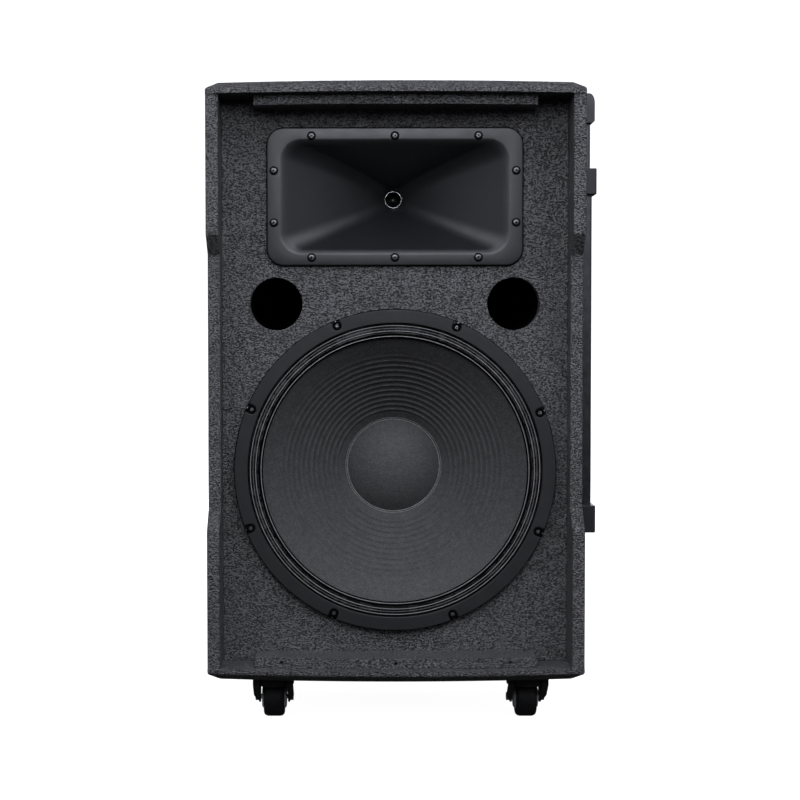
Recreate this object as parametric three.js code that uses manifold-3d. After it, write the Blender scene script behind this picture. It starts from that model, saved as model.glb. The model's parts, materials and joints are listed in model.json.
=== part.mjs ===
// Two-way loudspeaker cabinet with its grille off: a bow-fronted wooden box with a recessed
// baffle, a horn, two ports and a 15-inch woofer, on four swivel casters, with a telescopic
// trolley handle on its right side.
//
// Millimetres. The working frame below has x to the right of the front view, y into the depth
// from the front edge of the side panels, and z up from the underside of the cabinet. The last
// line moves the whole group so that the origin is the bottom centre of its bounding box.

import * as THREE from 'three';
import { mergeVertices } from 'three/addons/utils/BufferGeometryUtils.js';
import Module from 'manifold-3d';

const wasm = await Module();
wasm.setup();

// ---------------------------------------------------------------- driving dimensions

const GAP = 0.3;                  // clearance between pieces that touch

const CABINET = { width: 445, height: 705, depth: 390, panel: 15 };
const BOW = 16;                   // how far the top and bottom panels bow forward at mid width
const EDGE_CHAMFER = { inward: 15, down: 9 };
const SET_BACK = { depth: 25, rampLow: 178.5, flatLow: 203.5, flatHigh: 503.5, rampHigh: 526 };
const BAFFLE = { front: 50, thickness: 18 };
const REAR_RECESS = 8;
const BATTEN = { halfLength: 166.5, height: 12, behindBow: 16, arcSteps: 10 };
const BRACE = { width: 40, bottom: 449, top: 479 };

const HORN = {
  z: 574, flangeWidth: 306, flangeHeight: 164, flangeRadius: 20, flangeThickness: 4,
  mouthWidth: 269, mouthHeight: 131, mouthRadius: 22, throatRadius: 11, throatLift: 4.5,
  depth: 96, wall: 4,
};
const DRIVER = { magnetRadius: 50, magnetLength: 34, capRadius: 42, capLength: 20 };

const PORT = { x: 142.5, z: 446, radius: 31.5, wall: 2.5, length: 130 };

const WOOFER = {
  z: 246, frameRadius: 193, ringInner: 177, ringFront: 42, ringThickness: 4.4,
  coneRadius: 160.5, coneFront: 49, cutoutRadius: 177,
  capRadius: 57.5, capEdge: 131, capHeight: 19, coilRadius: 38, neck: 147,
  spiderRadius: 84, spiderDepth: 155, plateFront: 166,
  magnetRadius: 96, magnetLength: 24, plateRadius: 84, plateThickness: 8,
};

const CASTER = {
  leftX: -148, rightX: 162, inset: 76, height: 62, wheelRadius: 24, trail: 17,
  tyreHalfWidth: 12.7, hubHalfWidth: 15.1, hubRadius: 15, armInner: 16.8, armThickness: 2.4,
  plateWidth: 54, plateThickness: 2.5, crownTop: 6.5, crownBottom: 17.8, crownRadius: 24.8,
};

const TROLLEY = {
  front: 110, rear: 280, offset: 11.7,
  outerHalf: 9.4, outerWall: 1.4, innerHalf: 7.3, cornerRadius: 3,
  footBottom: 165, footTop: 198.5, collarBottom: 580.7, collarTop: 612.5,
  gripBottom: 668, bracketReach: 25.6, gripReach: 22.8, insertion: 4,
  innerBottom: 225, tubeInGrip: 16, gripDrop: 1.5, overhang: 18,
  buttonWidth: 11, buttonLength: 40, buttonHeight: 12, pressRoom: 3.5,
};

const BASKET = {
  flange: 3, seat: 174, wall: 172, bowlBack: 72, floor: 100, floorFront: 150, magnetHole: 52,
  spiderSeat: 161, landing: 86, landingFront: 158, step: 92, stepFront: 151, opening: 165,
  openingBack: 70, windows: 6, windowHalf: 30, windowFront: 78, windowBack: 146,
};

const INPUT = { z: 300, plateWidth: 130, plateHeight: 110, socketSpacing: 56, socketRadius: 12.6 };
const BOARD = { x: 0, y: 300, width: 150, depth: 90, thickness: 1.8, standOff: 8 };

const RIGHT_FACE = CABINET.width / 2;
const INNER_HALF = CABINET.width / 2 - CABINET.panel;
const FLOOR_TOP = CABINET.panel;
const CEILING = CABINET.height - CABINET.panel;
const BAFFLE_BACK = BAFFLE.front + BAFFLE.thickness;
const REAR_BACK = CABINET.depth - REAR_RECESS;
const REAR_FRONT = REAR_BACK - CABINET.panel;

// ---------------------------------------------------------------- materials

const finish = (color, roughness, metalness = 0) => ({ color, roughness, metalness });

const TEXTURED_PAINT = finish(0x1b1b1c, 0.7);
const BARE_PLYWOOD = finish(0xb48a5a, 0.8);
const SATIN_PLASTIC = finish(0x202123, 0.45);
const BLACK_PAINTED_STEEL = finish(0x161617, 0.5, 0.4);
const RUBBERISED_CLOTH = finish(0x0e0e0f, 0.6);
const CONE_PAPER = finish(0x2a2a2b, 0.85);
const ZINC_STEEL = finish(0x9a9c9f, 0.35, 0.9);
const GREY_FERRITE = finish(0x333334, 0.7);
const COPPER = finish(0xa8622e, 0.35, 0.9);
const POLYIMIDE = finish(0x8a5a1e, 0.5);
const SPIDER_CLOTH = finish(0xb98a3a, 0.9);
const ALUMINIUM = finish(0x6d7076, 0.4, 0.85);
const BLACK_RUBBER = finish(0x18191b, 0.75);
const GREY_NYLON = finish(0x8e9092, 0.5);
const GREEN_BOARD = finish(0x1f4a2c, 0.6);
const FILM_YELLOW = finish(0xc9a02c, 0.4);

// ---------------------------------------------------------------- solids and booleans

function toManifold(geometry) {
  const bare = geometry.clone();
  bare.deleteAttribute('normal');
  bare.deleteAttribute('uv');
  const merged = mergeVertices(bare, 1e-4);
  const vertProperties = new Float32Array(merged.attributes.position.array);
  const triVerts = new Uint32Array(merged.index.array);
  return new wasm.Manifold(new wasm.Mesh({ numProp: 3, vertProperties, triVerts }));
}

function toGeometry(manifold) {
  const mesh = manifold.getMesh();
  const geometry = new THREE.BufferGeometry();
  geometry.setAttribute('position', new THREE.BufferAttribute(mesh.vertProperties, 3));
  geometry.setIndex(new THREE.BufferAttribute(mesh.triVerts, 1));
  geometry.computeVertexNormals();
  return geometry;
}

function join(first, ...others) {
  return toGeometry(others.reduce((sum, next) => sum.add(toManifold(next)), toManifold(first)));
}

function cut(first, ...others) {
  return toGeometry(others.reduce((rest, next) => rest.subtract(toManifold(next)), toManifold(first)));
}

function overlap(first, second) {
  return toGeometry(toManifold(first).intersect(toManifold(second)));
}

function box(x0, x1, y0, y1, z0, z1) {
  const geometry = new THREE.BoxGeometry(x1 - x0, y1 - y0, z1 - z0);
  return geometry.translate((x0 + x1) / 2, (y0 + y1) / 2, (z0 + z1) / 2);
}

const flatExtrude = (shape, depth, curveSegments) =>
  new THREE.ExtrudeGeometry(shape, { depth, bevelEnabled: false, curveSegments });

// A shape drawn in (x, z), as seen from the front, and extruded from depth y0 to depth y1.
function frontExtrude(shape, y0, y1, curveSegments = 8) {
  return flatExtrude(shape, y1 - y0, curveSegments).rotateX(Math.PI / 2).translate(0, y1, 0);
}

// A shape drawn in (y, z), as seen from the side, and extruded from x0 to x1.
function sideExtrude(shape, x0, x1, curveSegments = 8) {
  const axes = new THREE.Matrix4().makeBasis(
    new THREE.Vector3(0, 1, 0), new THREE.Vector3(0, 0, 1), new THREE.Vector3(1, 0, 0));
  return flatExtrude(shape, x1 - x0, curveSegments).applyMatrix4(axes).translate(x0, 0, 0);
}

// A shape drawn in (x, y), as seen from above, and extruded from z0 to z1.
function topExtrude(shape, z0, z1, curveSegments = 8) {
  return flatExtrude(shape, z1 - z0, curveSegments).translate(0, 0, z0);
}

function polygon(points) {
  return new THREE.Shape(points.map(([a, b]) => new THREE.Vector2(a, b)));
}

function roundedRectangle(centreA, centreB, width, height, radius) {
  const [a0, a1] = [centreA - width / 2, centreA + width / 2];
  const [b0, b1] = [centreB - height / 2, centreB + height / 2];
  const shape = new THREE.Shape();
  shape.moveTo(a0 + radius, b0);
  shape.lineTo(a1 - radius, b0);
  shape.absarc(a1 - radius, b0 + radius, radius, -Math.PI / 2, 0);
  shape.lineTo(a1, b1 - radius);
  shape.absarc(a1 - radius, b1 - radius, radius, 0, Math.PI / 2);
  shape.lineTo(a0 + radius, b1);
  shape.absarc(a0 + radius, b1 - radius, radius, Math.PI / 2, Math.PI);
  shape.lineTo(a0, b0 + radius);
  shape.absarc(a0 + radius, b0 + radius, radius, Math.PI, 1.5 * Math.PI);
  return shape;
}

// A body of revolution about the line through the origin along y. The profile is a loop of
// [radius, y] points, which starts on the axis when the body is solid there.
function turned(profile, segments = 48) {
  const points = profile.map(([radius, y]) => new THREE.Vector2(radius, y));
  if (THREE.ShapeUtils.area(points) < 0) {
    points.reverse();
  }
  if (profile[0][0] > 0) {
    points.push(points[0].clone());
  }
  return new THREE.LatheGeometry(points, segments);
}

const axisToX = (geometry) => geometry.rotateZ(-Math.PI / 2);
const axisToZ = (geometry) => geometry.rotateX(Math.PI / 2);

const rod = (radius, from, to, segments = 24) =>
  turned([[0, from], [radius, from], [radius, to], [0, to]], segments);

// A closed skin over rings of points that all have the same count, with a flat cap at each end.
function loft(rings) {
  const count = rings[0].length;
  const points = rings.flat();
  const centres = [rings[0], rings[rings.length - 1]].map((ring) =>
    ring.reduce((sum, point) => sum.add(point), new THREE.Vector3()).divideScalar(count));
  const [firstCentre, lastCentre] = [points.length, points.length + 1];
  const lastRing = (rings.length - 1) * count;
  const faces = [];
  for (let i = 0; i < count; i += 1) {
    const next = (i + 1) % count;
    faces.push(firstCentre, next, i);
    faces.push(lastCentre, lastRing + i, lastRing + next);
    for (let ring = 0; ring < lastRing; ring += count) {
      faces.push(ring + i, ring + next, ring + count + next);
      faces.push(ring + i, ring + count + next, ring + count + i);
    }
  }
  const geometry = new THREE.BufferGeometry().setFromPoints([...points, ...centres]);
  return geometry.setIndex(faces);
}

// The outline of a rounded rectangle as a ring of points in the plane of one depth.
function roundedRing(halfWidth, halfHeight, radius, y, centreZ, stepsPerCorner) {
  const ring = [];
  for (let corner = 0; corner < 4; corner += 1) {
    const sideX = corner === 0 || corner === 3 ? 1 : -1;
    const sideZ = corner < 2 ? 1 : -1;
    for (let step = 0; step <= stepsPerCorner; step += 1) {
      const angle = (corner + step / stepsPerCorner) * Math.PI / 2;
      const x = sideX * (halfWidth - radius) + radius * Math.cos(angle);
      const z = sideZ * (halfHeight - radius) + radius * Math.sin(angle);
      ring.push(new THREE.Vector3(x, y, centreZ + z));
    }
  }
  return ring.reverse();
}

// ---------------------------------------------------------------- the part's group

const part = new THREE.Group();
part.name = 'pa_speaker_cabinet';

function add(name, geometry, look, x = 0, y = 0, z = 0) {
  const mesh = new THREE.Mesh(geometry, new THREE.MeshStandardMaterial(look));
  mesh.name = name;
  mesh.position.set(x, y, z);
  part.add(mesh);
}

// ---------------------------------------------------------------- cabinet

// How far back the bowed front edge lies at x, on an edge of the given half width.
const bowAt = (x, half) => -BOW * (1 - (x / half) ** 2);

// The outline of a bowed panel, drawn in from its rim by the given inset.
function bowedRing(inset, z) {
  const half = RIGHT_FACE - inset;
  const steps = 20;
  const ring = [];
  for (let step = 0; step <= steps; step += 1) {
    const x = half * (2 * step / steps - 1);
    ring.push(new THREE.Vector3(x, bowAt(x, half) + inset, z));
  }
  ring.push(new THREE.Vector3(half, CABINET.depth - inset, z));
  ring.push(new THREE.Vector3(-half, CABINET.depth - inset, z));
  return ring;
}

// A bowed panel lying on z = 0, with its upper rim chamfered.
function bowedPanel() {
  const straight = CABINET.panel - EDGE_CHAMFER.down;
  return loft([bowedRing(0, 0), bowedRing(0, straight), bowedRing(EDGE_CHAMFER.inward, CABINET.panel)]);
}

function sidePanel(x0, x1) {
  const [low, high] = [FLOOR_TOP + GAP, CEILING - GAP];
  return sideExtrude(polygon([
    [0, low], [CABINET.depth, low], [CABINET.depth, high], [0, high],
    [0, SET_BACK.rampHigh], [SET_BACK.depth, SET_BACK.flatHigh],
    [SET_BACK.depth, SET_BACK.flatLow], [0, SET_BACK.rampLow],
  ]), x0, x1);
}

function insidePanel(y0, y1) {
  const edge = INNER_HALF - GAP;
  return box(-edge, edge, y0, y1, FLOOR_TOP + GAP, CEILING - GAP);
}

// Bars through both socket places, to cut the panel and the plate that the sockets pass through.
function socketBars(radius) {
  const half = INPUT.socketSpacing / 2;
  return [-half, half].map((x) =>
    rod(radius, REAR_FRONT - 5, REAR_BACK + 9, 24).translate(x, 0, INPUT.z));
}

function rearPanel() {
  return cut(insidePanel(REAR_FRONT, REAR_BACK), ...socketBars(INPUT.socketRadius + 1.4));
}

function frontBaffle() {
  const [y0, y1] = [BAFFLE.front - 5, BAFFLE_BACK + 5];
  const clearance = 2 * (HORN.wall + 1.5);
  const hornHole = roundedRectangle(0, HORN.z, HORN.mouthWidth + clearance,
    HORN.mouthHeight + clearance, HORN.mouthRadius + clearance / 2);
  const rods = [rod(WOOFER.cutoutRadius, y0, y1, 48).translate(0, 0, WOOFER.z)];
  for (const side of [-1, 1]) {
    rods.push(rod(PORT.radius, y0, y1, 32).translate(side * PORT.x, 0, PORT.z));
  }
  return cut(insidePanel(BAFFLE.front, BAFFLE_BACK), frontExtrude(hornHole, y0, y1, 6), ...rods);
}

// A strip whose front edge runs parallel to the bow of the panel it is fixed to.
function batten(z0, z1) {
  const half = BATTEN.halfLength;
  const outline = [[half, BAFFLE.front - GAP], [-half, BAFFLE.front - GAP]];
  for (let step = 0; step <= BATTEN.arcSteps; step += 1) {
    const x = half * (2 * step / BATTEN.arcSteps - 1);
    outline.push([x, bowAt(x, RIGHT_FACE) + BATTEN.behindBow]);
  }
  return topExtrude(polygon(outline), z0, z1);
}

function addCabinet() {
  add('top_panel', bowedPanel(), TEXTURED_PAINT, 0, 0, CEILING);
  const underside = bowedPanel().rotateY(Math.PI);
  add('bottom_panel', underside, TEXTURED_PAINT, 0, 0, FLOOR_TOP);
  add('left_side_panel', sidePanel(-RIGHT_FACE, -INNER_HALF), TEXTURED_PAINT);
  add('right_side_panel', sidePanel(INNER_HALF, RIGHT_FACE), TEXTURED_PAINT);
  add('rear_panel', rearPanel(), TEXTURED_PAINT);
  add('front_baffle', frontBaffle(), TEXTURED_PAINT);
  const { height } = BATTEN;
  add('upper_grille_batten', batten(CEILING - GAP - height, CEILING - GAP), TEXTURED_PAINT);
  add('lower_grille_batten', batten(FLOOR_TOP + GAP, FLOOR_TOP + GAP + height), TEXTURED_PAINT);
  const brace = box(-BRACE.width / 2, BRACE.width / 2, BAFFLE_BACK + GAP, REAR_FRONT - GAP,
    BRACE.bottom, BRACE.top);
  add('front_to_rear_brace', brace, BARE_PLYWOOD);
}

// ---------------------------------------------------------------- horn and ports

// Rings from the mouth back to the round throat, grown outward by the wall for the outer skin.
// The throat sits a little above the middle of the mouth.
function hornRings(grow, frontY, backY) {
  const steps = 7;
  const rings = [];
  for (let step = 0; step <= steps; step += 1) {
    const back = step / steps;
    const y = frontY + (backY - frontY) * back;
    const open = 1 - back;
    const flareX = open ** 1.25;
    const flareZ = open ** 1.1;
    const halfWidth = HORN.throatRadius + (HORN.mouthWidth / 2 - HORN.throatRadius) * flareX + grow;
    const halfHeight = HORN.throatRadius + (HORN.mouthHeight / 2 - HORN.throatRadius) * flareZ + grow;
    const radius = HORN.throatRadius + (HORN.mouthRadius - HORN.throatRadius) * open + grow * 0.999;
    const corner = Math.min(radius, halfHeight * 0.999);
    rings.push(roundedRing(halfWidth, halfHeight, corner, y, HORN.throatLift * back, 3));
  }
  return rings;
}

function hornFlare() {
  const front = BAFFLE.front - GAP - HORN.flangeThickness;
  const back = front + HORN.depth;
  const flange = frontExtrude(
    roundedRectangle(0, 0, HORN.flangeWidth, HORN.flangeHeight, HORN.flangeRadius),
    front, front + HORN.flangeThickness);
  const outerSkin = loft(hornRings(HORN.wall, front + 0.5, back));
  const driverSeat = rod(DRIVER.capRadius, back - 5, back, 32).translate(0, 0, HORN.throatLift);
  const solid = join(flange, outerSkin, driverSeat);
  const inside = loft(hornRings(0, front - 0.01, back + 0.01));
  return cut(solid, inside);
}

function addHorn() {
  add('horn_flare', hornFlare(), SATIN_PLASTIC, 0, 0, HORN.z);
  const seat = BAFFLE.front - GAP - HORN.flangeThickness + HORN.depth + GAP;
  const magnetBack = seat + DRIVER.magnetLength;
  const { throatRadius } = HORN;
  const driverZ = HORN.z + HORN.throatLift;
  const magnet = turned([
    [throatRadius, seat], [DRIVER.magnetRadius, seat], [DRIVER.magnetRadius, magnetBack],
    [throatRadius, magnetBack],
  ], 32);
  add('compression_driver_magnet', magnet, GREY_FERRITE, 0, 0, driverZ);
  const capFront = magnetBack + GAP;
  const capBack = capFront + DRIVER.capLength;
  const cap = turned([
    [0, capFront], [DRIVER.capRadius, capFront], [DRIVER.capRadius, capBack - 6],
    [DRIVER.capRadius - 6, capBack], [0, capBack],
  ], 28);
  add('compression_driver_cap', cap, BLACK_PAINTED_STEEL, 0, 0, driverZ);
}

function addPorts() {
  const [inner, outer] = [PORT.radius, PORT.radius + PORT.wall];
  const [front, back] = [BAFFLE_BACK + GAP, BAFFLE_BACK + GAP + PORT.length];
  for (const [name, side] of [['left_port_tube', -1], ['right_port_tube', 1]]) {
    const tube = turned([[inner, front], [outer, front], [outer, back], [inner, back]], 32);
    add(name, tube, SATIN_PLASTIC, side * PORT.x, 0, PORT.z);
  }
}

// ---------------------------------------------------------------- woofer

const coneSlope = (WOOFER.capEdge - WOOFER.coneFront) / (WOOFER.coneRadius - WOOFER.capRadius);

function wooferBasket() {
  const back = BAFFLE.front - GAP;
  const front = back - BASKET.flange;
  const rear = WOOFER.plateFront - GAP;
  const { opening, openingBack, landing, landingFront, spiderSeat, magnetHole } = BASKET;
  const shell = turned([
    [WOOFER.frameRadius, front], [WOOFER.frameRadius, back], [BASKET.seat, back],
    [BASKET.wall, BASKET.bowlBack], [BASKET.floor, BASKET.floorFront], [BASKET.floor, rear],
    [magnetHole, rear], [magnetHole, spiderSeat], [landing, spiderSeat], [landing, landingFront],
    [BASKET.step, landingFront], [BASKET.step, BASKET.stepFront], [opening, openingBack],
    [opening, front],
  ], 36);
  const { windowHalf, windowFront, windowBack } = BASKET;
  const windows = [];
  for (let index = 0; index < BASKET.windows; index += 1) {
    const window = box(-windowHalf, windowHalf, windowFront, windowBack, 90, 200);
    windows.push(window.rotateY(2 * Math.PI * index / BASKET.windows));
  }
  return cut(shell, ...windows);
}

function addWooferFrame() {
  const place = [0, 0, WOOFER.z];
  add('woofer_basket', wooferBasket(), BLACK_PAINTED_STEEL, ...place);
  const [inner, outer] = [WOOFER.ringInner, WOOFER.frameRadius];
  const [front, back] = [WOOFER.ringFront, WOOFER.ringFront + WOOFER.ringThickness];
  const gasket = turned([
    [inner, front], [outer - 2, front], [outer, front + 2], [outer, back], [inner, back],
  ], 48);
  add('woofer_gasket_ring', gasket, BLACK_RUBBER, ...place);
  const plateBack = WOOFER.plateFront + WOOFER.plateThickness;
  const topPlate = turned([
    [40, WOOFER.plateFront], [92, WOOFER.plateFront], [92, plateBack], [40, plateBack],
  ], 32);
  add('woofer_top_plate', topPlate, ZINC_STEEL, ...place);
  const magnetFront = plateBack + GAP;
  const magnetBack = magnetFront + WOOFER.magnetLength;
  const magnet = turned([
    [48, magnetFront], [WOOFER.magnetRadius, magnetFront], [WOOFER.magnetRadius, magnetBack],
    [48, magnetBack],
  ], 32);
  add('woofer_magnet', magnet, GREY_FERRITE, ...place);
  const backFront = magnetBack + GAP;
  const backEnd = backFront + WOOFER.plateThickness;
  const pole = WOOFER.coilRadius - 1.4;
  const backPlate = turned([
    [0, WOOFER.plateFront], [pole, WOOFER.plateFront], [pole, backFront],
    [WOOFER.plateRadius, backFront], [WOOFER.plateRadius, backEnd], [0, backEnd],
  ], 32);
  add('woofer_pole_and_back_plate', backPlate, ZINC_STEEL, ...place);
}

function addMovingCone() {
  const place = [0, 0, WOOFER.z];
  const shell = 1.6;
  const { coneRadius, coneFront, capRadius, capEdge, coilRadius, neck } = WOOFER;
  const cone = turned([
    [coneRadius, coneFront - 1], [coneRadius, coneFront + shell], [capRadius, capEdge + 2 * shell],
    [coilRadius + 0.7, neck + shell], [coilRadius + 0.7, neck - 1], [capRadius, capEdge],
  ]);
  add('woofer_cone', cone, CONE_PAPER, ...place);

  const capSteps = 4;
  const rim = capRadius - 0.6;
  const sphere = (rim * rim + WOOFER.capHeight ** 2) / (2 * WOOFER.capHeight);
  const rimY = capEdge - 1.4 + coneSlope * 0.6;
  const domeArc = (radius) => {
    const arc = [];
    for (let step = 0; step <= capSteps; step += 1) {
      const angle = Math.asin(rim / sphere) * step / capSteps;
      const r = radius * Math.sin(angle);
      arc.push([r, rimY - WOOFER.capHeight + sphere - radius * Math.cos(angle)]);
    }
    return arc;
  };
  const dome = turned([...domeArc(sphere), ...domeArc(sphere - 1.2).reverse()], 36);
  add('dust_cap', dome, CONE_PAPER, ...place);

  const formerBack = WOOFER.plateFront + WOOFER.plateThickness + 4;
  const [thin, wound] = [coilRadius + 0.4, coilRadius + 1.2];
  const coil = turned([
    [coilRadius - 0.8, neck - 0.5], [thin, neck - 0.5], [thin, WOOFER.plateFront - 4],
    [wound, WOOFER.plateFront - 4], [wound, formerBack], [coilRadius - 0.8, formerBack],
  ], 32);
  add('voice_coil', coil, POLYIMIDE, ...place);

  const seat = BAFFLE.front - GAP - 3 - GAP;
  const surround = turned([
    [coneRadius + GAP, coneFront - 3], [coneRadius + GAP, coneFront - 0.6],
    [coneRadius + 4, seat], [WOOFER.ringInner - GAP, seat],
    [WOOFER.ringInner - GAP, seat - 2.5], [coneRadius + 5, seat - 2.5],
  ]);
  add('woofer_surround', surround, RUBBERISED_CLOTH, ...place);

  const spider = turned([
    [coilRadius + 0.7, WOOFER.spiderDepth], [WOOFER.spiderRadius + 1.7, WOOFER.spiderDepth],
    [WOOFER.spiderRadius + 1.7, WOOFER.spiderDepth + 2], [coilRadius + 0.7, WOOFER.spiderDepth + 2],
  ], 32);
  add('woofer_spider', spider, SPIDER_CLOTH, ...place);
}

// ---------------------------------------------------------------- electrics

function addInput() {
  const front = REAR_BACK + GAP;
  const plateOutline = roundedRectangle(0, INPUT.z, INPUT.plateWidth, INPUT.plateHeight, 6);
  const holes = socketBars(INPUT.socketRadius + GAP);
  const plate = cut(frontExtrude(plateOutline, front, front + 2, 4), ...holes);
  add('input_plate', plate, BLACK_PAINTED_STEEL);
  for (const [name, side] of [['left_input_socket', -1], ['right_input_socket', 1]]) {
    const face = front + 2 + GAP;
    const body = rod(INPUT.socketRadius, face - 22, face + 1, 24);
    const lip = frontExtrude(roundedRectangle(0, 0, 32, 40, 4), face, face + 3, 3);
    const well = rod(INPUT.socketRadius - 2.6, face - 16, face + 6, 24);
    const x = side * INPUT.socketSpacing / 2;
    add(name, cut(join(body, lip), well), SATIN_PLASTIC, x, 0, INPUT.z);
  }
}

function addCrossover() {
  const base = FLOOR_TOP + GAP;
  const [halfX, halfY] = [BOARD.width / 2, BOARD.depth / 2];
  const top = base + BOARD.standOff + BOARD.thickness;
  const sheet = box(-halfX, halfX, -halfY, halfY, base + BOARD.standOff, top);
  const feet = [];
  for (const sideX of [-1, 1]) {
    for (const sideY of [-1, 1]) {
      const foot = axisToZ(rod(4, base, top - 0.5, 12));
      feet.push(foot.translate(sideX * (halfX - 8), sideY * (halfY - 8), 0));
    }
  }
  add('crossover_board', join(sheet, ...feet), GREEN_BOARD, BOARD.x, BOARD.y, 0);
  const inductor = axisToZ(turned([[9, 0], [24, 0], [24, 20], [9, 20]], 32));
  add('crossover_inductor', inductor, COPPER, BOARD.x - 36, BOARD.y, top + GAP);
  const capacitor = axisToX(rod(10, -22, 22, 24));
  add('crossover_capacitor', capacitor, FILM_YELLOW, BOARD.x + 38, BOARD.y, top + GAP + 10);
}

// ---------------------------------------------------------------- casters

function casterPlate() {
  const { plateWidth, plateThickness, crownTop } = CASTER;
  const bottom = -GAP - plateThickness;
  const plate = topExtrude(roundedRectangle(0, 0, plateWidth, plateWidth, 4), bottom, -GAP, 2);
  const race = axisToZ(rod(20, -crownTop + GAP, bottom + 0.5, 24));
  const kingpin = axisToZ(rod(5, -12, bottom + 0.5, 12));
  const head = axisToZ(rod(7.5, -12.6, -crownTop - 2.4 - GAP, 12));
  return join(plate, race, kingpin, head);
}

// A pressed fork: a round crown with a front skirt, and two arms with outward front flanges.
function casterFork() {
  const { armInner, armThickness, crownTop, crownBottom, crownRadius, trail } = CASTER;
  const axleZ = -CASTER.height + CASTER.wheelRadius;
  const crown = axisToZ(rod(crownRadius, -crownBottom, -crownTop, 24));
  const hollow = axisToZ(rod(crownRadius - armThickness, -crownBottom - 1, -crownTop - 2.4, 24));
  const wheelWay = box(-armInner, armInner, -8, 40, -crownBottom - 1, -crownTop - 2.4);
  const pinHole = axisToZ(rod(5.4, -30, 0, 12));
  const outline = new THREE.Shape();
  outline.moveTo(-21, -9);
  outline.lineTo(-21, -16);
  outline.lineTo(trail - 5, axleZ - 5);
  outline.absarc(trail, axleZ, 7, 1.25 * Math.PI, 2 * Math.PI);
  outline.lineTo(21, -9);
  const arms = [];
  for (const side of [-1, 1]) {
    const [x0, x1] = side < 0 ? [-crownRadius, -armInner] : [armInner, crownRadius];
    const tipX = side * (armInner + armThickness);
    const frontView = polygon([
      [side * armInner, 0], [side * (crownRadius - 0.2), 0], [side * (crownRadius - 0.2), -33],
      [tipX, axleZ - 6.5], [side * armInner, axleZ - 6.5],
    ]);
    const blank = overlap(sideExtrude(outline, x0, x1, 3), frontExtrude(frontView, -40, 40));
    const flangeX = side < 0 ? [x0 - 1, tipX] : [tipX, x1 + 1];
    const inside = sideExtrude(outline, ...flangeX, 3).translate(0, 2.6, 0);
    const lower = box(...flangeX, trail - 7, 60, axleZ - 20, -crownBottom);
    arms.push(cut(blank, inside, lower));
  }
  const axleHole = axisToX(rod(3.4, -40, 40, 12)).translate(0, trail, axleZ);
  return cut(join(cut(crown, hollow, wheelWay), ...arms), pinHole, axleHole);
}

function casterAxle() {
  const reach = CASTER.armInner + CASTER.armThickness + GAP;
  const shank = axisToX(rod(3, -reach - 1, reach + 1, 12));
  const head = axisToX(rod(5, -reach - 4, -reach, 12));
  const nut = axisToX(rod(5, reach, reach + 4, 6));
  return join(shank, head, nut);
}

function casterTyre() {
  const { tyreHalfWidth: half, wheelRadius, hubRadius } = CASTER;
  return axisToX(turned([
    [hubRadius + GAP, -half], [wheelRadius - 3, -half], [wheelRadius, -half + 3],
    [wheelRadius, half - 3], [wheelRadius - 3, half], [hubRadius + GAP, half],
  ], 32));
}

function casterHub() {
  const { tyreHalfWidth, hubHalfWidth, hubRadius } = CASTER;
  const [bore, face] = [3.3, hubRadius - 3.5];
  return axisToX(turned([
    [bore, -hubHalfWidth], [face, -hubHalfWidth], [hubRadius, -tyreHalfWidth],
    [hubRadius, tyreHalfWidth], [face, hubHalfWidth], [bore, hubHalfWidth],
  ], 20));
}

function addCasters() {
  const axleZ = -CASTER.height + CASTER.wheelRadius;
  for (const [end, y] of [['front', CASTER.inset], ['rear', CABINET.depth - CASTER.inset]]) {
    for (const [hand, x] of [['left', CASTER.leftX], ['right', CASTER.rightX]]) {
      const place = `${end}_${hand}_caster`;
      add(`${place}_plate`, casterPlate(), ZINC_STEEL, x, y, 0);
      add(`${place}_fork`, casterFork(), BLACK_PAINTED_STEEL, x, y, 0);
      const axle = [x, y + CASTER.trail, axleZ];
      add(`${place}_axle`, casterAxle(), ZINC_STEEL, ...axle);
      add(`${place}_hub`, casterHub(), GREY_NYLON, ...axle);
      add(`${place}_tyre`, casterTyre(), BLACK_RUBBER, ...axle);
    }
  }
}

// ---------------------------------------------------------------- trolley handle

const TUBE_X = RIGHT_FACE + TROLLEY.offset;
const TROLLEY_ENDS = [TROLLEY.front, TROLLEY.rear];
const MID_Y = (TROLLEY.front + TROLLEY.rear) / 2;
const BRACKET_LENGTH = TROLLEY.rear - TROLLEY.front + 2 * TROLLEY.overhang;

function squareTube(half, wall, z0, z1) {
  const shape = roundedRectangle(0, 0, 2 * half, 2 * half, TROLLEY.cornerRadius);
  const inner = 2 * (half - wall);
  shape.holes.push(roundedRectangle(0, 0, inner, inner, TROLLEY.cornerRadius - wall / 2));
  return topExtrude(shape, z0, z1, 2);
}

function squarePlug(half, y, z0, z1) {
  const size = 2 * (half + GAP);
  return topExtrude(roundedRectangle(TUBE_X, y, size, size, TROLLEY.cornerRadius), z0, z1, 2);
}

function bracket(z0, z1) {
  const [near, far] = [RIGHT_FACE + GAP, RIGHT_FACE + TROLLEY.bracketReach];
  const outline = roundedRectangle((near + far) / 2, MID_Y, far - near, BRACKET_LENGTH, 2.5);
  return topExtrude(outline, z0, z1, 2);
}

function gripBody(top) {
  const [near, far] = [RIGHT_FACE + GAP, RIGHT_FACE + TROLLEY.gripReach];
  const [roundX, roundZ] = [6.5, 12];
  const profile = new THREE.Shape();
  profile.moveTo(near, TROLLEY.gripBottom);
  profile.lineTo(far - 2, TROLLEY.gripBottom);
  profile.lineTo(far, TROLLEY.gripBottom + 2);
  profile.lineTo(far, top - roundZ);
  profile.absellipse(far - roundX, top - roundZ, roundX, roundZ, 0, Math.PI / 2);
  profile.lineTo(near, top);
  return frontExtrude(profile, MID_Y - BRACKET_LENGTH / 2, MID_Y + BRACKET_LENGTH / 2, 6);
}

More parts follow.
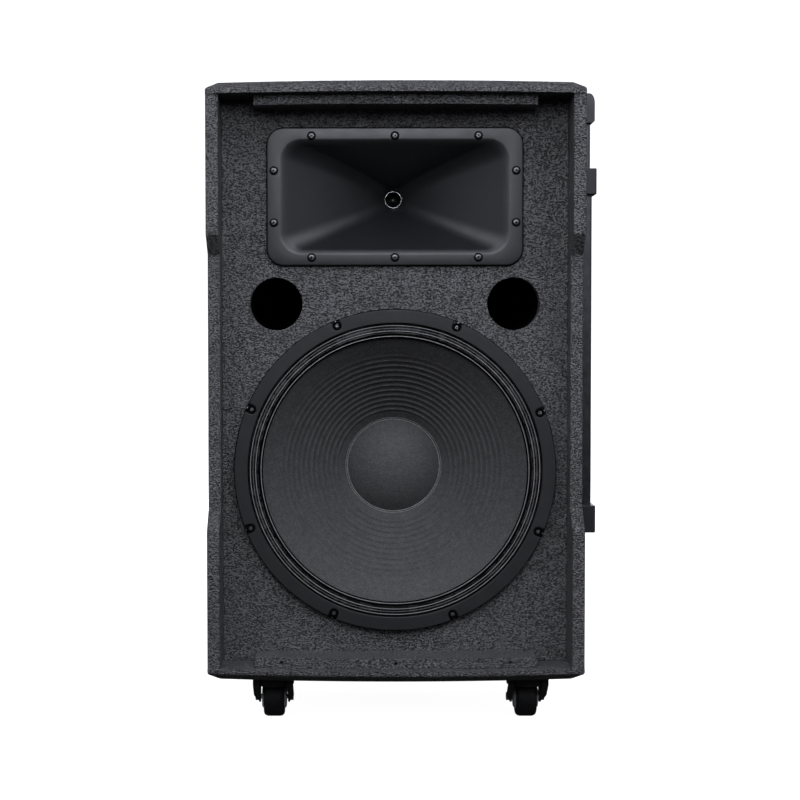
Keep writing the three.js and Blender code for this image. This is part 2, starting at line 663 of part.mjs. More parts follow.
function addTrolley() {
  const { outerHalf, outerWall, innerHalf, insertion } = TROLLEY;
  const outerLow = TROLLEY.footBottom + insertion;
  const outerHigh = TROLLEY.collarTop - insertion;
  const gripTop = CABINET.height - TROLLEY.gripDrop;
  const innerHigh = TROLLEY.gripBottom + TROLLEY.tubeInGrip;
  const foot = bracket(TROLLEY.footBottom, TROLLEY.footTop);
  const collar = bracket(TROLLEY.collarBottom, TROLLEY.collarTop);
  const outerPlug = (y, z0, z1) => squarePlug(outerHalf, y, z0, z1);
  const footCuts = TROLLEY_ENDS.map((y) => outerPlug(y, outerLow - GAP, TROLLEY.footTop + 9));
  const collarCuts = TROLLEY_ENDS.flatMap((y) => [
    outerPlug(y, TROLLEY.collarBottom - 9, outerHigh + GAP),
    squarePlug(innerHalf, y, outerHigh - 1, TROLLEY.collarTop + 9),
  ]);
  add('trolley_foot_bracket', cut(foot, ...footCuts), SATIN_PLASTIC);
  add('trolley_collar_bracket', cut(collar, ...collarCuts), SATIN_PLASTIC);
  for (const [end, y] of [['front', TROLLEY.front], ['rear', TROLLEY.rear]]) {
    const outer = squareTube(outerHalf, outerWall, outerLow, outerHigh);
    add(`trolley_outer_tube_${end}`, outer, ALUMINIUM, TUBE_X, y, 0);
    const inner = squareTube(innerHalf, outerWall, TROLLEY.innerBottom, innerHigh);
    add(`trolley_inner_tube_${end}`, inner, ALUMINIUM, TUBE_X, y, 0);
  }
  const { buttonWidth, buttonLength, buttonHeight, pressRoom } = TROLLEY;
  const pocket = (extra) =>
    roundedRectangle(TUBE_X, MID_Y, buttonWidth + extra, buttonLength + extra, 4);
  const buttonFoot = CABINET.height - buttonHeight;
  const gripCuts = [
    ...TROLLEY_ENDS.map((y) => squarePlug(innerHalf, y, TROLLEY.gripBottom - 9, innerHigh + GAP)),
    topExtrude(pocket(2 * GAP), buttonFoot - pressRoom, CABINET.height + 9, 4),
  ];
  add('trolley_grip', cut(gripBody(gripTop), ...gripCuts), SATIN_PLASTIC);
  const button = topExtrude(pocket(0), buttonFoot, CABINET.height, 4);
  add('trolley_release_button', button, BLACK_RUBBER);
}

addCabinet();
addHorn();
addPorts();
addWooferFrame();
addMovingCone();
addInput();
addCrossover();
addCasters();
addTrolley();

part.position.set(-TROLLEY.bracketReach / 2, (BOW - CABINET.depth) / 2, CASTER.height);
const lift = new THREE.Group();
lift.add(part);

export default lift;
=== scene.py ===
# Looks for a two-way loudspeaker cabinet with its grille off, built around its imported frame.
#
# Blender works in metres. The numbers below are millimetres in the cabinet's own frame: x to the
# right of the front view, y into the depth from the front edge of the side panels, and z up
# from the underside of the cabinet. spot() turns such a point into a place in the frame.

import json
from math import asin, cos, pi, radians, sin, sqrt, tau

import bmesh
import bpy
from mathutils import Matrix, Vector
from mathutils.geometry import tessellate_polygon

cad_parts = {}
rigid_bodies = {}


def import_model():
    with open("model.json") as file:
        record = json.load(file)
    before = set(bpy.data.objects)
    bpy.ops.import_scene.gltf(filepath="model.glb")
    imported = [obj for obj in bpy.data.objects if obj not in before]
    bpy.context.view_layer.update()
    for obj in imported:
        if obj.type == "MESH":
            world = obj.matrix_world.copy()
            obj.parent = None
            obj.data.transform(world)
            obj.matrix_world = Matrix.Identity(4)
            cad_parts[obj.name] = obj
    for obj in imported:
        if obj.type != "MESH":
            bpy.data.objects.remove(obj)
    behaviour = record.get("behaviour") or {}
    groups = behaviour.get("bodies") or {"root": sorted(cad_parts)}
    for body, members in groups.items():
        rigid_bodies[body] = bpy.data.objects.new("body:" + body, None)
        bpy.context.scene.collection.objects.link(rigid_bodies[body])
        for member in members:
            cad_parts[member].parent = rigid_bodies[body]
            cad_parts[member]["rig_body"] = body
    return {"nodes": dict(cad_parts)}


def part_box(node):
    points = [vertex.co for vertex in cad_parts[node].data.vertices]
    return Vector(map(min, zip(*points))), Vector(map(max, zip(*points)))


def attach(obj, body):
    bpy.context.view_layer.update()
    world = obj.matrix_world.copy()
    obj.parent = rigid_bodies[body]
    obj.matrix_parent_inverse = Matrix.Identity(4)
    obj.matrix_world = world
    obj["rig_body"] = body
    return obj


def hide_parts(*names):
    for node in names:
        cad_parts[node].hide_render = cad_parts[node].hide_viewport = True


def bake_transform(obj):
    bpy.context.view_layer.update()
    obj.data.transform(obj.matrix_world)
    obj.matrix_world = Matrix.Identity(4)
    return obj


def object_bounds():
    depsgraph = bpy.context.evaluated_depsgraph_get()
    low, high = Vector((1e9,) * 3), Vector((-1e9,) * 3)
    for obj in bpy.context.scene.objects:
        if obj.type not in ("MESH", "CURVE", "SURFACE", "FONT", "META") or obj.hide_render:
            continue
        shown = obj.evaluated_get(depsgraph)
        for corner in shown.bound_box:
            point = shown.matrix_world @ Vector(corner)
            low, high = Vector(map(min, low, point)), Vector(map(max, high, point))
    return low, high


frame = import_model()
CAD_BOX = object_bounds()

# ---------------------------------------------------------------- places and sizes

MM = 0.001
WELD = 1e-7                       # metres within which two points are one


def middle(low_high):
    return (low_high[0] + low_high[1]) / 2


ORIGIN = Vector((
    middle(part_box("top_panel")).x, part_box("left_side_panel")[0].y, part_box("bottom_panel")[0].z,
))


def spot(x, y, z):
    return ORIGIN + MM * Vector((x, y, z))


def box_mm(node):
    """The lowest and highest corners of a CAD node in the cabinet's own frame."""
    low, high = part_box(node)
    return (low - ORIGIN) / MM, (high - ORIGIN) / MM


TOP_LOW, TOP_HIGH = box_mm("top_panel")
SIDE_LOW, SIDE_HIGH = box_mm("right_side_panel")
BAFFLE_LOW, BAFFLE_HIGH = box_mm("front_baffle")
REAR_LOW, REAR_HIGH = box_mm("rear_panel")
HEIGHT = TOP_HIGH.z
DEPTH = TOP_HIGH.y
BOW = -TOP_LOW.y
PANEL = TOP_HIGH.z - TOP_LOW.z
HALF = SIDE_HIGH.x
INNER = SIDE_LOW.x
CHAMFER_IN, CHAMFER_DOWN = PANEL, 9
SET_BACK, RAMP_LOW, FLAT_LOW, FLAT_HIGH, RAMP_HIGH = 25, 178.5, 203.5, 503.5, 526

WOOFER = middle(box_mm("woofer_gasket_ring"))
RING_LOW, RING_HIGH = box_mm("woofer_gasket_ring")
RING_OUTER = (RING_HIGH.x - RING_LOW.x) / 2
RING_INNER = 177
CONE_RADIUS, CAP_RADIUS, CAP_HEIGHT = 160.5, 57.5, 19
CONE_FRONT, CONE_BACK = 49, 131
RING_SCREWS, RING_SCREW_TURN, RING_SCREW_RADIUS = 8, radians(21.8), 187

HORN = middle(box_mm("horn_flare"))
FLANGE_LOW, FLANGE_HIGH = box_mm("horn_flare")
MOUTH_WIDTH, MOUTH_HEIGHT, MOUTH_RADIUS, THROAT_RADIUS = 269, 131, 22, 11
FLANGE_RADIUS, FLANGE_THICKNESS, HORN_WALL = 20, 4, 3.5
DRIVER = middle(box_mm("compression_driver_magnet"))
THROAT_LIFT = DRIVER.z - HORN.z

PORTS = [middle(box_mm(f"{hand}_port_tube")) for hand in ("left", "right")]
PORT_RADIUS = 31.5

# ---------------------------------------------------------------- finishes

BUMPS = {"noise": "ShaderNodeTexNoise", "cells": "ShaderNodeTexVoronoi"}


def bump_layer(nodes, links, place, before, kind, size, height, stretch=(1, 1, 1)):
    """One more layer of relief, with its own height: grains of a size and height in millimetres."""
    spread = nodes.new("ShaderNodeMapping")
    spread.inputs["Scale"].default_value = stretch
    links.new(place, spread.inputs["Vector"])
    grain = nodes.new(BUMPS[kind])
    grain.inputs["Scale"].default_value = 1 / (size * MM)
    links.new(spread.outputs["Vector"], grain.inputs["Vector"])
    if kind == "cells":
        grain.feature = "SMOOTH_F1"
        grain.inputs["Smoothness"].default_value = 0.55
        value = grain.outputs["Distance"]
    else:
        grain.inputs["Detail"].default_value = 3
        value = grain.outputs["Fac"]
    bump = nodes.new("ShaderNodeBump")
    bump.invert = kind == "cells"
    bump.inputs["Distance"].default_value = height * MM
    links.new(value, bump.inputs["Height"])
    if before is not None:
        links.new(before, bump.inputs["Normal"])
    return bump.outputs["Normal"], value


def finish(name, colour, rough, metal=0.0, specular=0.5, spread=0.08, mottle=0.15, blotch=30,
           bumps=(), painted_relief_shading=None):
    """A finish whose colour and roughness drift over blotches, with layers of relief.

    The last argument gives the share of the colour in the hollows and on the crests of the first layer:
    painted shade in the hollows and a painted highlight on the crests."""
    material = bpy.data.materials.new(name)
    material.use_nodes = True
    nodes = material.node_tree.nodes
    links = material.node_tree.links
    shader = nodes["Principled BSDF"]
    shader.inputs["Metallic"].default_value = metal
    shader.inputs["Specular IOR Level"].default_value = specular
    place = nodes.new("ShaderNodeTexCoord").outputs["Object"]

    drift = nodes.new("ShaderNodeTexNoise")
    drift.inputs["Scale"].default_value = 1 / (blotch * MM)
    drift.inputs["Detail"].default_value = 5
    links.new(place, drift.inputs["Vector"])
    tint = nodes.new("ShaderNodeValToRGB")
    for stop, (where, share) in zip(tint.color_ramp.elements, ((0.3, 1 - mottle), (0.7, 1 + mottle))):
        stop.position = where
        stop.color = (*[min(1, c * share) for c in colour], 1)
    links.new(drift.outputs["Fac"], tint.inputs["Fac"])

    smear = nodes.new("ShaderNodeTexNoise")
    smear.inputs["Scale"].default_value = 1 / (blotch * MM * 0.4)
    smear.inputs["Detail"].default_value = 6
    links.new(place, smear.inputs["Vector"])
    polish = nodes.new("ShaderNodeMapRange")
    polish.inputs["From Min"].default_value = 0.3
    polish.inputs["From Max"].default_value = 0.7
    polish.inputs["To Min"].default_value = max(0.02, rough - spread)
    polish.inputs["To Max"].default_value = min(1, rough + spread)
    links.new(smear.outputs["Fac"], polish.inputs["Value"])
    links.new(polish.outputs["Result"], shader.inputs["Roughness"])

    normal, heights = None, []
    for layer in bumps:
        normal, height = bump_layer(nodes, links, place, normal, *layer)
        heights.append(height)
    if normal is not None:
        links.new(normal, shader.inputs["Normal"])
    if painted_relief_shading is None:
        links.new(tint.outputs["Color"], shader.inputs["Base Color"])
        return material
    # Painted shade and highlight: the colour drops in the hollows and rises on the crests of the first
    # layer of relief.
    depth = nodes.new("ShaderNodeMapRange")
    depth.inputs["From Min"].default_value = 0.45
    depth.inputs["From Max"].default_value = 0.55
    depth.inputs["To Min"].default_value, depth.inputs["To Max"].default_value = painted_relief_shading
    links.new(heights[0], depth.inputs["Value"])
    shaded = nodes.new("ShaderNodeVectorMath")
    shaded.operation = "SCALE"
    links.new(tint.outputs["Color"], shaded.inputs["Vector"])
    links.new(depth.outputs["Result"], shaded.inputs["Scale"])
    links.new(shaded.outputs["Vector"], shader.inputs["Base Color"])
    return material


# name: (slot in the record, finish)
LOOKS = {
    # The paint's colour carries painted shade in the pebbles' hollows and a painted highlight on their
    # crests.
    "paint": ("painted_wood", finish(
        "pebbled_paint", (0.048, 0.048, 0.0496), 0.4, spread=0.06, mottle=0.12, blotch=60,
        bumps=[("noise", 1.9, 5, (0.8, 0.8, 1.3)), ("cells", 2.6, 1), ("noise", 0.8, 0.25)],
        painted_relief_shading=(0.08, 1.92))),
    "plywood": ("bare_plywood", finish(
        "birch_plywood", (0.46, 0.3, 0.16), 0.7, mottle=0.2, blotch=12,
        bumps=[("noise", 1.5, 0.1, (1, 0.05, 1))])),
    "horn": ("horn_plastic", finish(
        "satin_moulding", (0.006, 0.0064, 0.0073), 0.42, spread=0.04, specular=0.35, mottle=0.1,
        blotch=45, bumps=[("noise", 0.6, 0.03), ("noise", 12, 0.03)])),
    "moulding": ("black_plastic", finish(
        "black_moulding", (0.02, 0.02, 0.021), 0.45, mottle=0.12, bumps=[("noise", 0.6, 0.03)])),
    # Black plastic for the port tubes, darkened further and with almost no reflection: partly the
    # tubes' own black, partly painted shade down inside the ports.
    "port": ("black_plastic", finish(
        "port_moulding", (0.002, 0.002, 0.002), 0.8, specular=0.02, mottle=0.1,
        bumps=[("noise", 0.8, 0.03)])),
    # Near-black with almost no reflection: painted shade in screw recesses, round screw heads, down the
    # throat gap and in a line round the woofer ring, and the dark outline behind the horn flange.
    "near_black": ("gasket_rubber", finish(
        "near_black_painted_shade", (0.0015, 0.0015, 0.0016), 0.85, specular=0.02, mottle=0.2, blotch=5,
        bumps=[("noise", 0.7, 0.08)])),
    "trolley": ("trolley_plastic", finish(
        "trolley_moulding", (0.0125, 0.0135, 0.0158), 0.45, specular=0.32, mottle=0.12, blotch=25,
        bumps=[("noise", 0.7, 0.04)])),
    "button": ("trolley_plastic", finish(
        "button_rubber", (0.018, 0.018, 0.019), 0.6, bumps=[("noise", 0.9, 0.05)])),
    "steel": ("painted_steel", finish(
        "powder_coat", (0.012, 0.012, 0.0125), 0.4, spread=0.1, mottle=0.2, blotch=8,
        bumps=[("noise", 0.9, 0.05)])),
    "gasket": ("gasket_rubber", finish(
        "ring_rubber", (0.0095, 0.0098, 0.0107), 0.55, spread=0.06, specular=0.24, blotch=20,
        bumps=[("noise", 0.5, 0.02), ("noise", 9, 0.05)])),
    # The cone and cap colours carry painted shade in their grain's hollows and a painted highlight on
    # its crests.
    "cone": ("cone_paper", finish(
        "pulp_paper", (0.037, 0.037, 0.0378), 0.75, spread=0.1, specular=0.2, mottle=0.15,
        blotch=7, bumps=[("noise", 1.3, 0.16), ("noise", 0.5, 0.05, (1, 0.3, 1))],
        painted_relief_shading=(0.75, 1.25))),
    "cap": ("cone_paper", finish(
        "cap_paper", (0.042, 0.042, 0.043), 0.7, spread=0.1, specular=0.25, mottle=0.1,
        blotch=6, bumps=[("noise", 1.2, 0.12), ("noise", 0.6, 0.06)], painted_relief_shading=(0.75, 1.25))),
    "glue": ("cone_paper", finish(
        "dried_glue", (0.16, 0.16, 0.16), 0.3, spread=0.12, mottle=0.3, blotch=4,
        bumps=[("noise", 2.5, 0.25)])),
    "surround": ("coated_cloth", finish(
        "doped_cloth", (0.0009, 0.0009, 0.001), 0.6, spread=0.05, specular=0.04, mottle=0.2,
        blotch=10, bumps=[("noise", 0.9, 0.01)])),
    # Pale beads on the surround's crests and small bumps: painted highlight lines where light catches
    # the folds.
    "ridge": ("coated_cloth", finish(
        "painted_crest_highlight", (0.15, 0.15, 0.157), 0.5, spread=0.08, mottle=0.25, blotch=5,
        bumps=[("noise", 0.9, 0.03)])),
    "spider": ("spider_cloth", finish(
        "resin_cloth", (0.5, 0.33, 0.12), 0.8, bumps=[("cells", 1.0, 0.15)])),
    "zinc": ("zinc_steel", finish(
        "zinc_plate", (0.5, 0.51, 0.53), 0.34, metal=1.0, spread=0.1, mottle=0.12, blotch=6,
        bumps=[("noise", 0.7, 0.02)])),
    "screw": ("painted_steel", finish(
        "blackened_screw", (0.11, 0.11, 0.116), 0.36, metal=1.0, spread=0.1, mottle=0.35,
        blotch=2, bumps=[("noise", 0.6, 0.03)])),
    "ferrite": ("ferrite", finish(
        "ferrite_ceramic", (0.06, 0.06, 0.062), 0.6, bumps=[("noise", 1.2, 0.08)])),
    "former": ("coil_former", finish("former_film", (0.35, 0.17, 0.04), 0.4, mottle=0.15)),
    "copper": ("copper_wire", finish(
        "enamelled_wire", (0.6, 0.27, 0.12), 0.3, metal=1.0,
        bumps=[("noise", 1.0, 0.2, (1, 1, 0.02))])),
    "board": ("circuit_board", finish("board_laminate", (0.02, 0.12, 0.04), 0.4, mottle=0.2)),
    "film": ("capacitor_film", finish("capacitor_wrap", (0.6, 0.42, 0.05), 0.3, mottle=0.1)),
    "tube": ("tube_aluminium", finish(
        "anodised_tube", (0.058, 0.06, 0.065), 0.34, metal=0.9, spread=0.06, mottle=0.15,
        blotch=10, bumps=[("noise", 0.6, 0.02, (1, 1, 0.02))])),
    "hub": ("hub_nylon", finish(
        "grey_nylon", (0.5, 0.51, 0.52), 0.45, mottle=0.1, blotch=6,
        bumps=[("noise", 0.8, 0.03)])),
    "tyre": ("tyre_rubber", finish(
        "tyre_rubber", (0.011, 0.011, 0.013), 0.6, specular=0.35, mottle=0.25, blotch=8,
        bumps=[("noise", 0.9, 0.08), ("noise", 6, 0.12)])),
}

# ---------------------------------------------------------------- shapes
# A shape is (points in millimetres, faces).

PLACES = {
    "front": lambda a, b, depth: (a, depth, b),
    "side": lambda a, b, depth: (depth, a, b),
    "top": lambda a, b, depth: (a, b, depth),
}


def merged(shapes):
    points, faces = [], []
    for some_points, some_faces in shapes:
        faces += [tuple(len(points) + i for i in face) for face in some_faces]
        points += some_points
    return points, faces


def loft(rings, wrap=False, caps=True):
    """A skin over rings of points that all have the same count."""
    count = len(rings[0])
    points = [point for ring in rings for point in ring]
    faces = []
    for ring in range(len(rings) if wrap else len(rings) - 1):
        a, b = ring * count, (ring + 1) % len(rings) * count
        faces += [(a + i, a + (i + 1) % count, b + (i + 1) % count, b + i) for i in range(count)]
    if caps and not wrap:
        faces.append(tuple(range(count)))
        faces.append(tuple(range(len(points) - count, len(points))))
    return points, faces


def lathe(profile, centre, axis="y", steps=128):
    """A body turned about an axis through centre, from a loop of (radius, along) points."""
    points, faces, rings = [], [], []
    for radius, along in profile:
        count = steps if radius > 0 else 1
        rings.append((len(points), count))
        for i in range(count):
            a, b = radius * cos(tau * i / steps), radius * sin(tau * i / steps)
            point = {"x": (along, a, b), "y": (a, along, b), "z": (a, b, along)}[axis]
            points.append(tuple(p + c for p, c in zip(point, centre)))
    following = rings[1:] + (rings[:1] if profile[0][0] > 0 else [])
    for (a, many_a), (b, many_b) in zip(rings, following):
        for i in range(steps):
            corners = [a + i % many_a, a + (i + 1) % many_a, b + (i + 1) % many_b, b + i % many_b]
            faces.append(tuple(dict.fromkeys(corners)))
    return points, [face for face in faces if len(face) > 2]


def prism(outline, low, high, facing):
    place = PLACES[facing]
    return loft([[place(a, b, depth) for a, b in outline] for depth in (low, high)])


def softened(profile, radius, closed=True, steps=4):
    """The same line with each corner rounded."""
    line = [Vector(point) for point in profile]
    smooth = []
    for i, corner in enumerate(line):
        if not closed and i in (0, len(line) - 1):
            smooth.append(tuple(corner))
            continue
        ends = []
        for other in (line[i - 1], line[(i + 1) % len(line)]):
            reach = min(radius, 0.49 * (other - corner).length)
            ends.append(corner + (other - corner).normalized() * reach)
        for step in range(steps + 1):
            t = step / steps
            smooth.append(tuple((1 - t) ** 2 * ends[0] + 2 * t * (1 - t) * corner + t * t * ends[1]))
    return smooth


def circle(a, b, radius, steps=96):
    def outline(grow):
        return [(a + (radius + grow) * cos(tau * i / steps), b + (radius + grow) * sin(tau * i / steps))
                for i in range(steps)]
    return outline


def rounded(a, b, width, height, radius, steps=8):
    """The outline of a rounded rectangle."""
    def outline(grow):
        corner = max(radius + grow, 0.01)
        reach_a, reach_b = width / 2 + grow - corner, height / 2 + grow - corner
        points = []
        for quarter, (side_a, side_b) in enumerate([(1, 1), (-1, 1), (-1, -1), (1, -1)]):
            for step in range(steps + 1):
                angle = (quarter + step / steps) * pi / 2
                points.append((a + side_a * reach_a + corner * cos(angle),
                               b + side_b * reach_b + corner * sin(angle)))
        return points
    return outline


def plate(outlines, low, high, soft, facing="front", steps=3):
    """A flat sheet with rounded rims. The first outline is its outside and the rest are holes."""
    place = PLACES[facing]
    shapes, rims, start = [], ([], []), 0
    for number, outline in enumerate(outlines):
        inward = -1 if number == 0 else 1
        rings = []
        for end, step_in in ((low, 1), (high, -1)):
            turn = []
            for step in range(steps + 1):
                angle = pi / 2 * step / steps
                depth = end + step_in * soft * (1 - cos(angle))
                turn.append([place(a, b, depth) for a, b in outline(inward * soft * (1 - sin(angle)))])
            rings += turn if step_in > 0 else turn[::-1]
        shapes.append(loft(rings, caps=False))
        count = len(rings[0])
        rims[0].append(range(start, start + count))
        rims[1].append(range(start + (len(rings) - 1) * count, start + len(rings) * count))
        start += len(rings) * count
    points, faces = merged(shapes)
    for loops in rims:
        order = [i for loop in loops for i in loop]
        flat = tessellate_polygon([[Vector(points[i]) for i in loop] for loop in loops])
        faces += [tuple(order[i] for i in triangle) for triangle in flat]
    return points, faces


OUTWARD = {
    "front": ((1, 0, 0), (0, 0, 1), (0, -1, 0)),
    "rear": ((-1, 0, 0), (0, 0, 1), (0, 1, 0)),
    "below": ((1, 0, 0), (0, -1, 0), (0, 0, -1)),
    "right": ((0, 1, 0), (0, 0, 1), (1, 0, 0)),
}


def cross_outline(reach, half, turn):
    """The outline of a cross recess."""
    points = []
    for arm in range(4):
        angle = turn + arm * pi / 2
        for along, across in ((half, -half), (reach, -half), (reach, half)):
            points.append((along * cos(angle) - across * sin(angle),
                           along * sin(angle) + across * cos(angle)))
    return points


def screw(place, radius, height, outward, turn):
    """A pan head with a cross recess, sitting on the face that place lies on."""
    steps = 32
    across, up, out = (Vector(axis) for axis in OUTWARD[outward])
    seat = Vector(place)

    def ring(outline, level):
        return [tuple(seat + a * across + b * up + level * out) for a, b in outline]

    dome = [(1.0, -0.05), (1.0, 0.3), (0.96, 0.52), (0.87, 0.75), (0.75, 0.91), (0.62, 1.0)]
    rings = [ring(circle(0, 0, share * radius, steps)(0), level * height) for share, level in dome]
    head = loft(rings, caps=False)
    recess = [ring(cross_outline(reach * radius, half * radius, turn), level * height)
              for reach, half, level in ((0.56, 0.15, 1.0), (0.5, 0.13, 0.55), (0.2, 0.1, 0.1))]
    well = loft(recess, caps=False)
    points, faces = merged([head, well])
    rim = list(range((len(rings) - 1) * steps, len(rings) * steps))
    lip = list(range(len(rings) * steps, len(rings) * steps + 12))
    flat = tessellate_polygon([[Vector(points[i]) for i in loop] for loop in (rim, lip)])
    faces += [tuple((rim + lip)[i] for i in triangle) for triangle in flat]
    faces.append(tuple(range(steps)))
    faces.append(tuple(range(len(points) - 12, len(points))))
    return points, faces


def screws(places, radius, height, outward):
    turn = 2.4                    # radians from one cross recess to the next, so none look alike
    return merged([screw(place, radius, height, outward, turn * i)
                   for i, place in enumerate(places)])


def recess_shade_discs(places, radius, height):
    """Dark discs down in the cross recesses of screws on the front: painted shade in the recesses."""
    top = 0.55 * height
    return merged([lathe([(0, y - top), (radius, y - top), (radius, y - 0.1), (0, y - 0.1)],
                         (x, 0, z), steps=20) for x, y, z in places])


def head_shadow_rings(places, inner, outer):
    """Flat black rings under screw heads on the front, standing a little off their face: painted shadow
    round the heads.
    """
    return merged([
        lathe(softened([(inner, y - 0.3), (outer, y - 0.3), (outer, y + 0.3), (inner, y + 0.3)], 0.15),
              (x, 0, z), steps=40) for x, y, z in places])


# ---------------------------------------------------------------- pieces


def piece(name, shape, look, body="root", stands_for=(), crease=35):
    """One object of a shape, welded, facing outward and hung on its body."""
    points, faces = shape
    mesh = bpy.data.meshes.new(name)
    mesh.from_pydata([spot(*point) for point in points], [], faces)
    shell = bmesh.new()
    shell.from_mesh(mesh)
    bmesh.ops.remove_doubles(shell, verts=shell.verts, dist=WELD)
    bmesh.ops.recalc_face_normals(shell, faces=shell.faces)
    shell.to_mesh(mesh)
    shell.free()
    return hung(name, mesh, look, body, stands_for, crease)


def hung(name, mesh, look, body, stands_for, crease):
    slot, material = LOOKS[look]
    mesh.shade_smooth()
    mesh.set_sharp_from_angle(angle=radians(crease))
    mesh.materials.clear()
    mesh.materials.append(material)
    obj = bpy.data.objects.new(name, mesh)
    bpy.context.scene.collection.objects.link(obj)
    if body:
        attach(obj, body)
    if stands_for:
        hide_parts(*stands_for)
    return obj


def soften(obj, width, segments=3, angle=30):
    """Rounds the piece's edges."""
    bevel = obj.modifiers.new("Bevel", "BEVEL")
    bevel.width = width * MM
    bevel.segments = segments
    bevel.limit_method = "ANGLE"
    bevel.angle_limit = radians(angle)
    bevel.harden_normals = True
    return obj


def flatten_shading(obj):
    """Keeps wide flat faces flat where they meet a narrow rounded rim."""
    weighted = obj.modifiers.new("WeightedNormal", "WEIGHTED_NORMAL")
    weighted.weight = 100
    weighted.keep_sharp = True
    return obj


def carved(shape, cutters):
    """The shape with the cutters taken away from it."""
    def bare(points, faces):
        mesh = bpy.data.meshes.new("carving")
        mesh.from_pydata([tuple(point) for point in points], [], faces)
        shell = bmesh.new()
        shell.from_mesh(mesh)
        bmesh.ops.recalc_face_normals(shell, faces=shell.faces)
        shell.to_mesh(mesh)
        shell.free()
        obj = bpy.data.objects.new("carving", mesh)
        bpy.context.scene.collection.objects.link(obj)
        return obj

    target, tool = bare(*shape), bare(*merged(cutters))
    cut = target.modifiers.new("Boolean", "BOOLEAN")
    cut.operation = "DIFFERENCE"
    cut.solver = "EXACT"
    cut.object = tool
    bpy.context.view_layer.update()
    result = target.evaluated_get(bpy.context.evaluated_depsgraph_get()).to_mesh()
    points = [tuple(vertex.co) for vertex in result.vertices]
    faces = [tuple(polygon.vertices) for polygon in result.polygons]
    for obj in (target, tool):
        bpy.data.objects.remove(obj)
    return points, faces


def refined(node, look, width=0.4, segments=2, crease=35, flat=2):
    """The node's own shape with its flat faces whole again and its edges rounded."""
    source = frame["nodes"][node]
    shell = bmesh.new()
    shell.from_mesh(source.data)
    bmesh.ops.remove_doubles(shell, verts=shell.verts, dist=2e-6)
    bmesh.ops.dissolve_limit(shell, angle_limit=radians(flat), verts=shell.verts, edges=shell.edges)
    bmesh.ops.recalc_face_normals(shell, faces=shell.faces)
    points = [tuple(vertex.co) for vertex in shell.verts]
    faces = [tuple(vertex.index for vertex in face.verts) for face in shell.faces]
    shell.free()
    mesh = bpy.data.meshes.new(f"{node}_finished")
    mesh.from_pydata(points, [], faces)
    obj = hung(f"{node}_finished", mesh, look, source["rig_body"], [node], crease)
    return soften(obj, width, segments, crease)


def repaint(node, look):
    """Keeps the CAD node and gives it a finish."""
    slot, material = LOOKS[look]
    obj = frame["nodes"][node]
    obj.material_slots[0].material = material


# ---------------------------------------------------------------- cabinet


def bow_at(x, half):
    return -BOW * (1 - (x / half) ** 2)


def bowed_ring(inset, z):
    half = HALF - inset
    steps = 60
    front = [half * (2 * step / steps - 1) for step in range(steps + 1)]
    ring = [(x, bow_at(x, half) + inset, z) for x in front]
    return ring + [(half, DEPTH - inset, z), (-half, DEPTH - inset, z)]


def add_bowed_panels():
    straight, rounding, flat_rim = PANEL - CHAMFER_DOWN, 2.5, 40
    corners = [(0, 0), (0, straight), (CHAMFER_IN, PANEL), (flat_rim, PANEL)]
    levels = softened(corners, rounding, closed=False)
    for name, base, up in (("top_panel", HEIGHT - PANEL, 1), ("bottom_panel", PANEL, -1)):
        rings = [bowed_ring(inset, base + up * level) for inset, level in levels]
        piece(f"{name}_painted", loft(rings), "paint", stands_for=[name], crease=40)


def add_side_panels():
    let_in = 3
    low, high = PANEL - let_in, HEIGHT - PANEL + let_in
    outline = [
        (0, low), (DEPTH, low), (DEPTH, high), (0, high),
        (0, RAMP_HIGH), (SET_BACK, FLAT_HIGH), (SET_BACK, FLAT_LOW), (0, RAMP_LOW),
    ]
    for name, x0, x1 in (("left_side_panel", -HALF, -INNER), ("right_side_panel", INNER, HALF)):
        panel = piece(f"{name}_painted", prism(outline, x0, x1, "side"), "paint", stands_for=[name])
        soften(panel, 1.6)


def inside_outline():
    """The outline of a panel that fills the inside of the box."""
    return rounded(0, HEIGHT / 2, 2 * INNER, HEIGHT - 2 * PANEL, 0.5, 1)


def add_baffle():
    low, high = BAFFLE_LOW.y, BAFFLE_HIGH.y
    outer = inside_outline()
    horn_hole = rounded(HORN.x, HORN.z, MOUTH_WIDTH + 11, MOUTH_HEIGHT + 11, MOUTH_RADIUS + 5)
    holes = [circle(WOOFER.x, WOOFER.z, RING_INNER, 128), horn_hole]
    holes += [circle(port.x, port.z, PORT_RADIUS) for port in PORTS]
    baffle = piece("front_baffle_painted", plate([outer, *holes], low, high, 0.8), "paint",
                   stands_for=["front_baffle"])
    flatten_shading(baffle)


def add_battens():
    steps, rounding, counterbore, bore = 40, 0.8, 2.4, 1.4
    for name in ("upper_grille_batten", "lower_grille_batten"):
        low, high = box_mm(name)
        centre = (low.z + high.z) / 2
        outline = [(high.x, high.y), (low.x, high.y)]
        for step in range(steps + 1):
            x = low.x + (high.x - low.x) * step / steps
            outline.append((x, bow_at(x, HALF) + BOW))
        batten = prism(outline, low.z, high.z, "top")
        places = [(x, bow_at(x, HALF) + BOW, centre + 0.4) for x in (-135, 0, 135)]
        holes = [lathe([(0, y - 3), (counterbore, y - 3), (counterbore, y + 3), (bore, y + 3.4),
                        (bore, y + 9), (0, y + 9)], (x, 0, z), steps=32) for x, y, z in places]
        body = piece(f"{name}_painted", carved(batten, holes), "paint", stands_for=[name], crease=40)
        soften(body, rounding, 2, 40)
        sleeve = [(bore, -0.2), (2.3, -0.2), (2.3, 3), (bore, 3)]
        sleeves = [lathe(softened([(radius, y + along) for radius, along in sleeve], 0.3),
                         (x, 0, z), steps=32) for x, y, z in places]
        piece(f"{name}_inserts", merged(sleeves), "tube")


